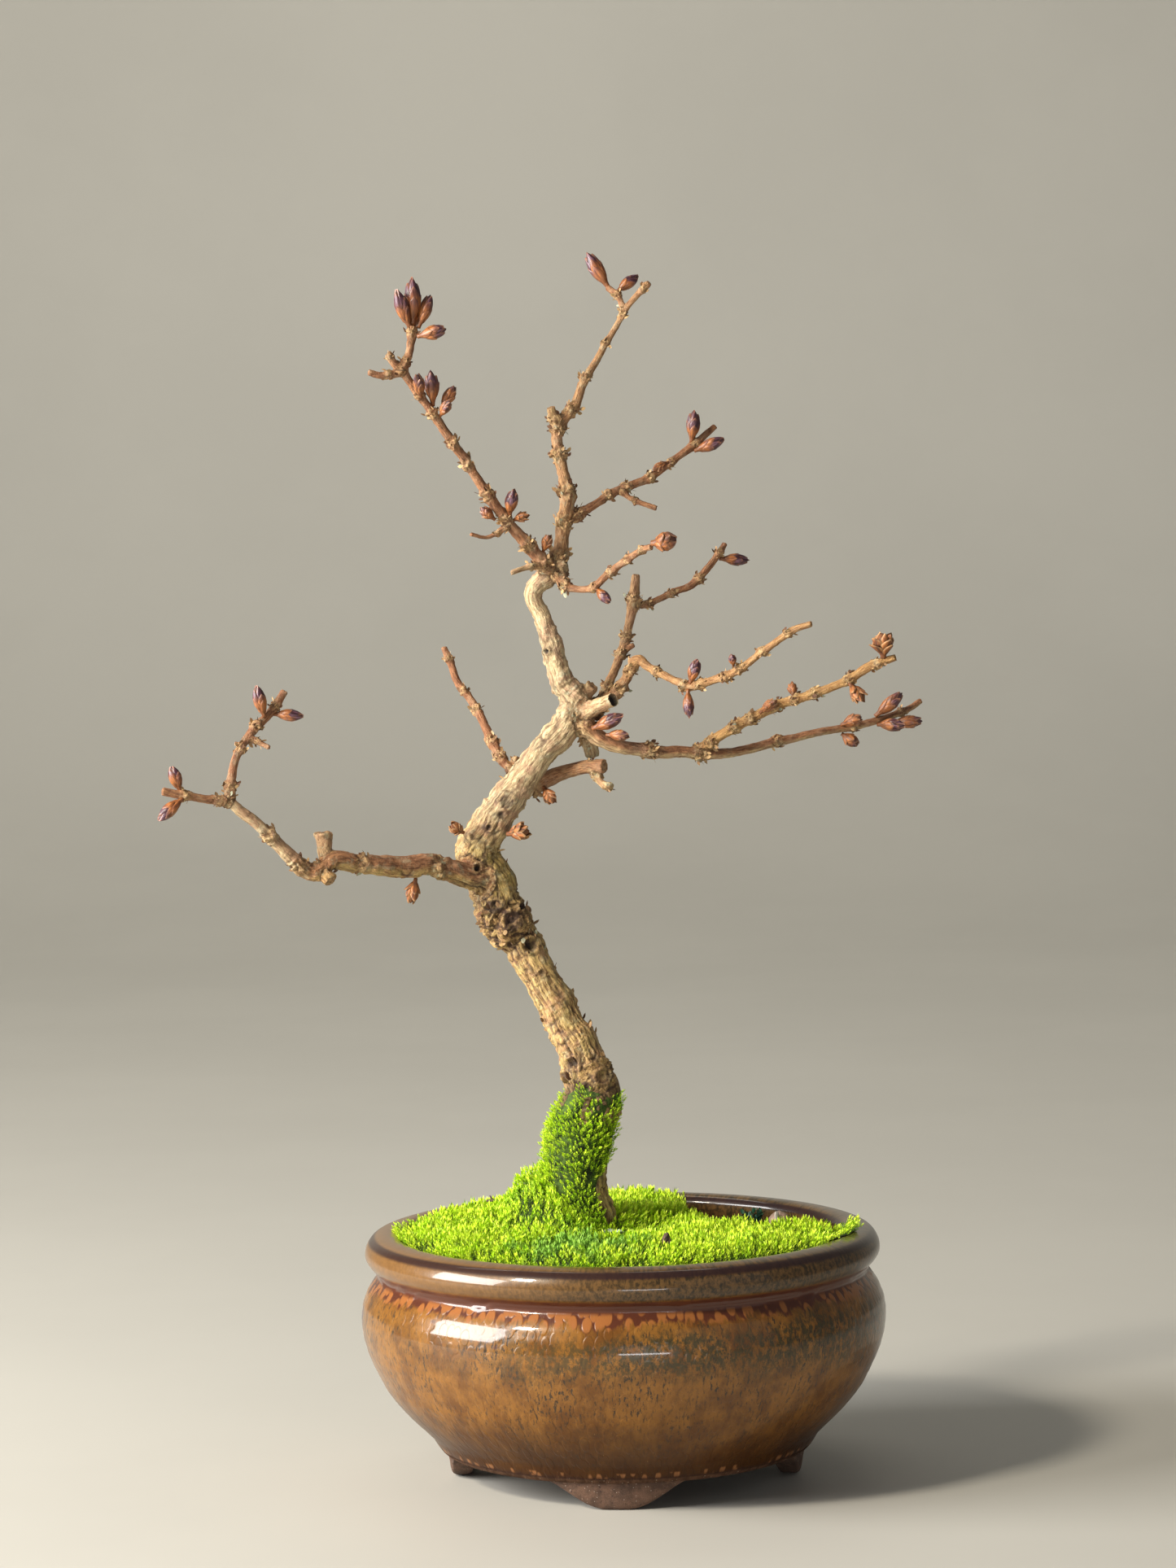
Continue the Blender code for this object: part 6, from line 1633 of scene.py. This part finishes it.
# The floor's line from front to back, in metres: flat under the pot, then curving up into a wall
floorLine = (
    (-2.5, 0.0), (0.8, 0.0), (1.2, 0.0), (1.6, 0.0), (1.9, 0.03),
    (2.15, 0.12), (2.35, 0.3), (2.45, 0.55), (2.5, 0.9), (2.5, 3.5),
)


def makeFloor():
    material, tree, shader = newMaterial("plain_floor", Roughness=0.6)
    floor = mottle(tree, placeOf(tree), 3.0, studioValues["floorColour"], 0.04)
    wire(tree, shader, Base_Color=floor)
    sweep = []
    for y, z in floorLine:
        sweep += [(-4000.0, y * 1000, z * 1000), (4000.0, y * 1000, z * 1000)]
    floor = newPiece("floor", sweep, gridFaces(len(floorLine), 2), material)
    bend = floor.modifiers.new("round", "SUBSURF")
    bend.levels = bend.render_levels = 3


def addLight(name, aim, place, width, height, power, colour):
    light = bpy.data.lights.new(name, "AREA")
    light.shape, light.size, light.size_y, light.energy, light.color = "RECTANGLE", width, height, power, colour
    lamp = bpy.data.objects.new(name, light)
    lamp.location = place
    lamp.rotation_euler = (Vector(aim) - lamp.location).to_track_quat("-Z", "Y").to_euler()
    bpy.context.scene.collection.objects.link(lamp)


def makeStudio():
    makeFloor()
    for name, settings in studioValues["lights"].items():
        addLight(name, (0.0, 0.0, 0.1), *settings)
    addLight("backdrop", (-0.2, 2.4, 0.8), *studioValues["backdropLight"])
    world = bpy.data.worlds.new("studio")
    world.use_nodes = True
    background = world.node_tree.nodes["Background"]
    background.inputs[0].default_value = rgba(studioValues["worldColour"])
    background.inputs[1].default_value = studioValues["worldStrength"]
    bpy.context.scene.world = world
    bpy.context.scene.view_settings.view_transform = "Standard"
    lens = bpy.data.cameras.new("camera")
    lens.sensor_fit, lens.sensor_height, lens.sensor_width, lens.lens = "AUTO", 36.0, 36.0, studioValues["lens"]
    camera = bpy.data.objects.new("camera", lens)
    camera.location = Vector(studioValues["cameraPlace"]) * mm + Vector(potAxis)
    tilt = math.radians(90 - studioValues["cameraDown"])
    turn = Matrix.Rotation(tilt, 4, "X") @ Matrix.Rotation(math.radians(studioValues["cameraRoll"]), 4, "Z")
    camera.rotation_euler = turn.to_euler()
    bpy.context.scene.collection.objects.link(camera)
    bpy.context.scene.camera = camera


wood, woodPoints, woodNormals, woodQuads, woodAttributes, woodLook, woodPieces = makeWood()
print("wood:", keepPiece(woodPieces[0], "bark", "trunk_and_branches"), keepPiece(woodPieces[1], "bark"))
print("bark flakes:", makeFlakes(woodPoints, woodNormals, woodQuads, woodAttributes, woodLook))
budRandom = random.Random(17)
print("buds:", sum(makeBud(name, budRandom) for name in buds))
makeMoss(wood)
print("pot:", makePot(), "feet:", makeFeet())
print("soil grit:", makeSoil())
print("loose bits:", makePebble() + makeSeedling() + makeLichen() + makeChipAndTwig())
for node, material, slotName in (("drain_mesh", netMaterial, "net"), ("drain_wire", wireMaterial, "wire")):
    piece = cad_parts[node]
    piece.data.materials.clear()
    piece.data.materials.append(material)
makeStudio()
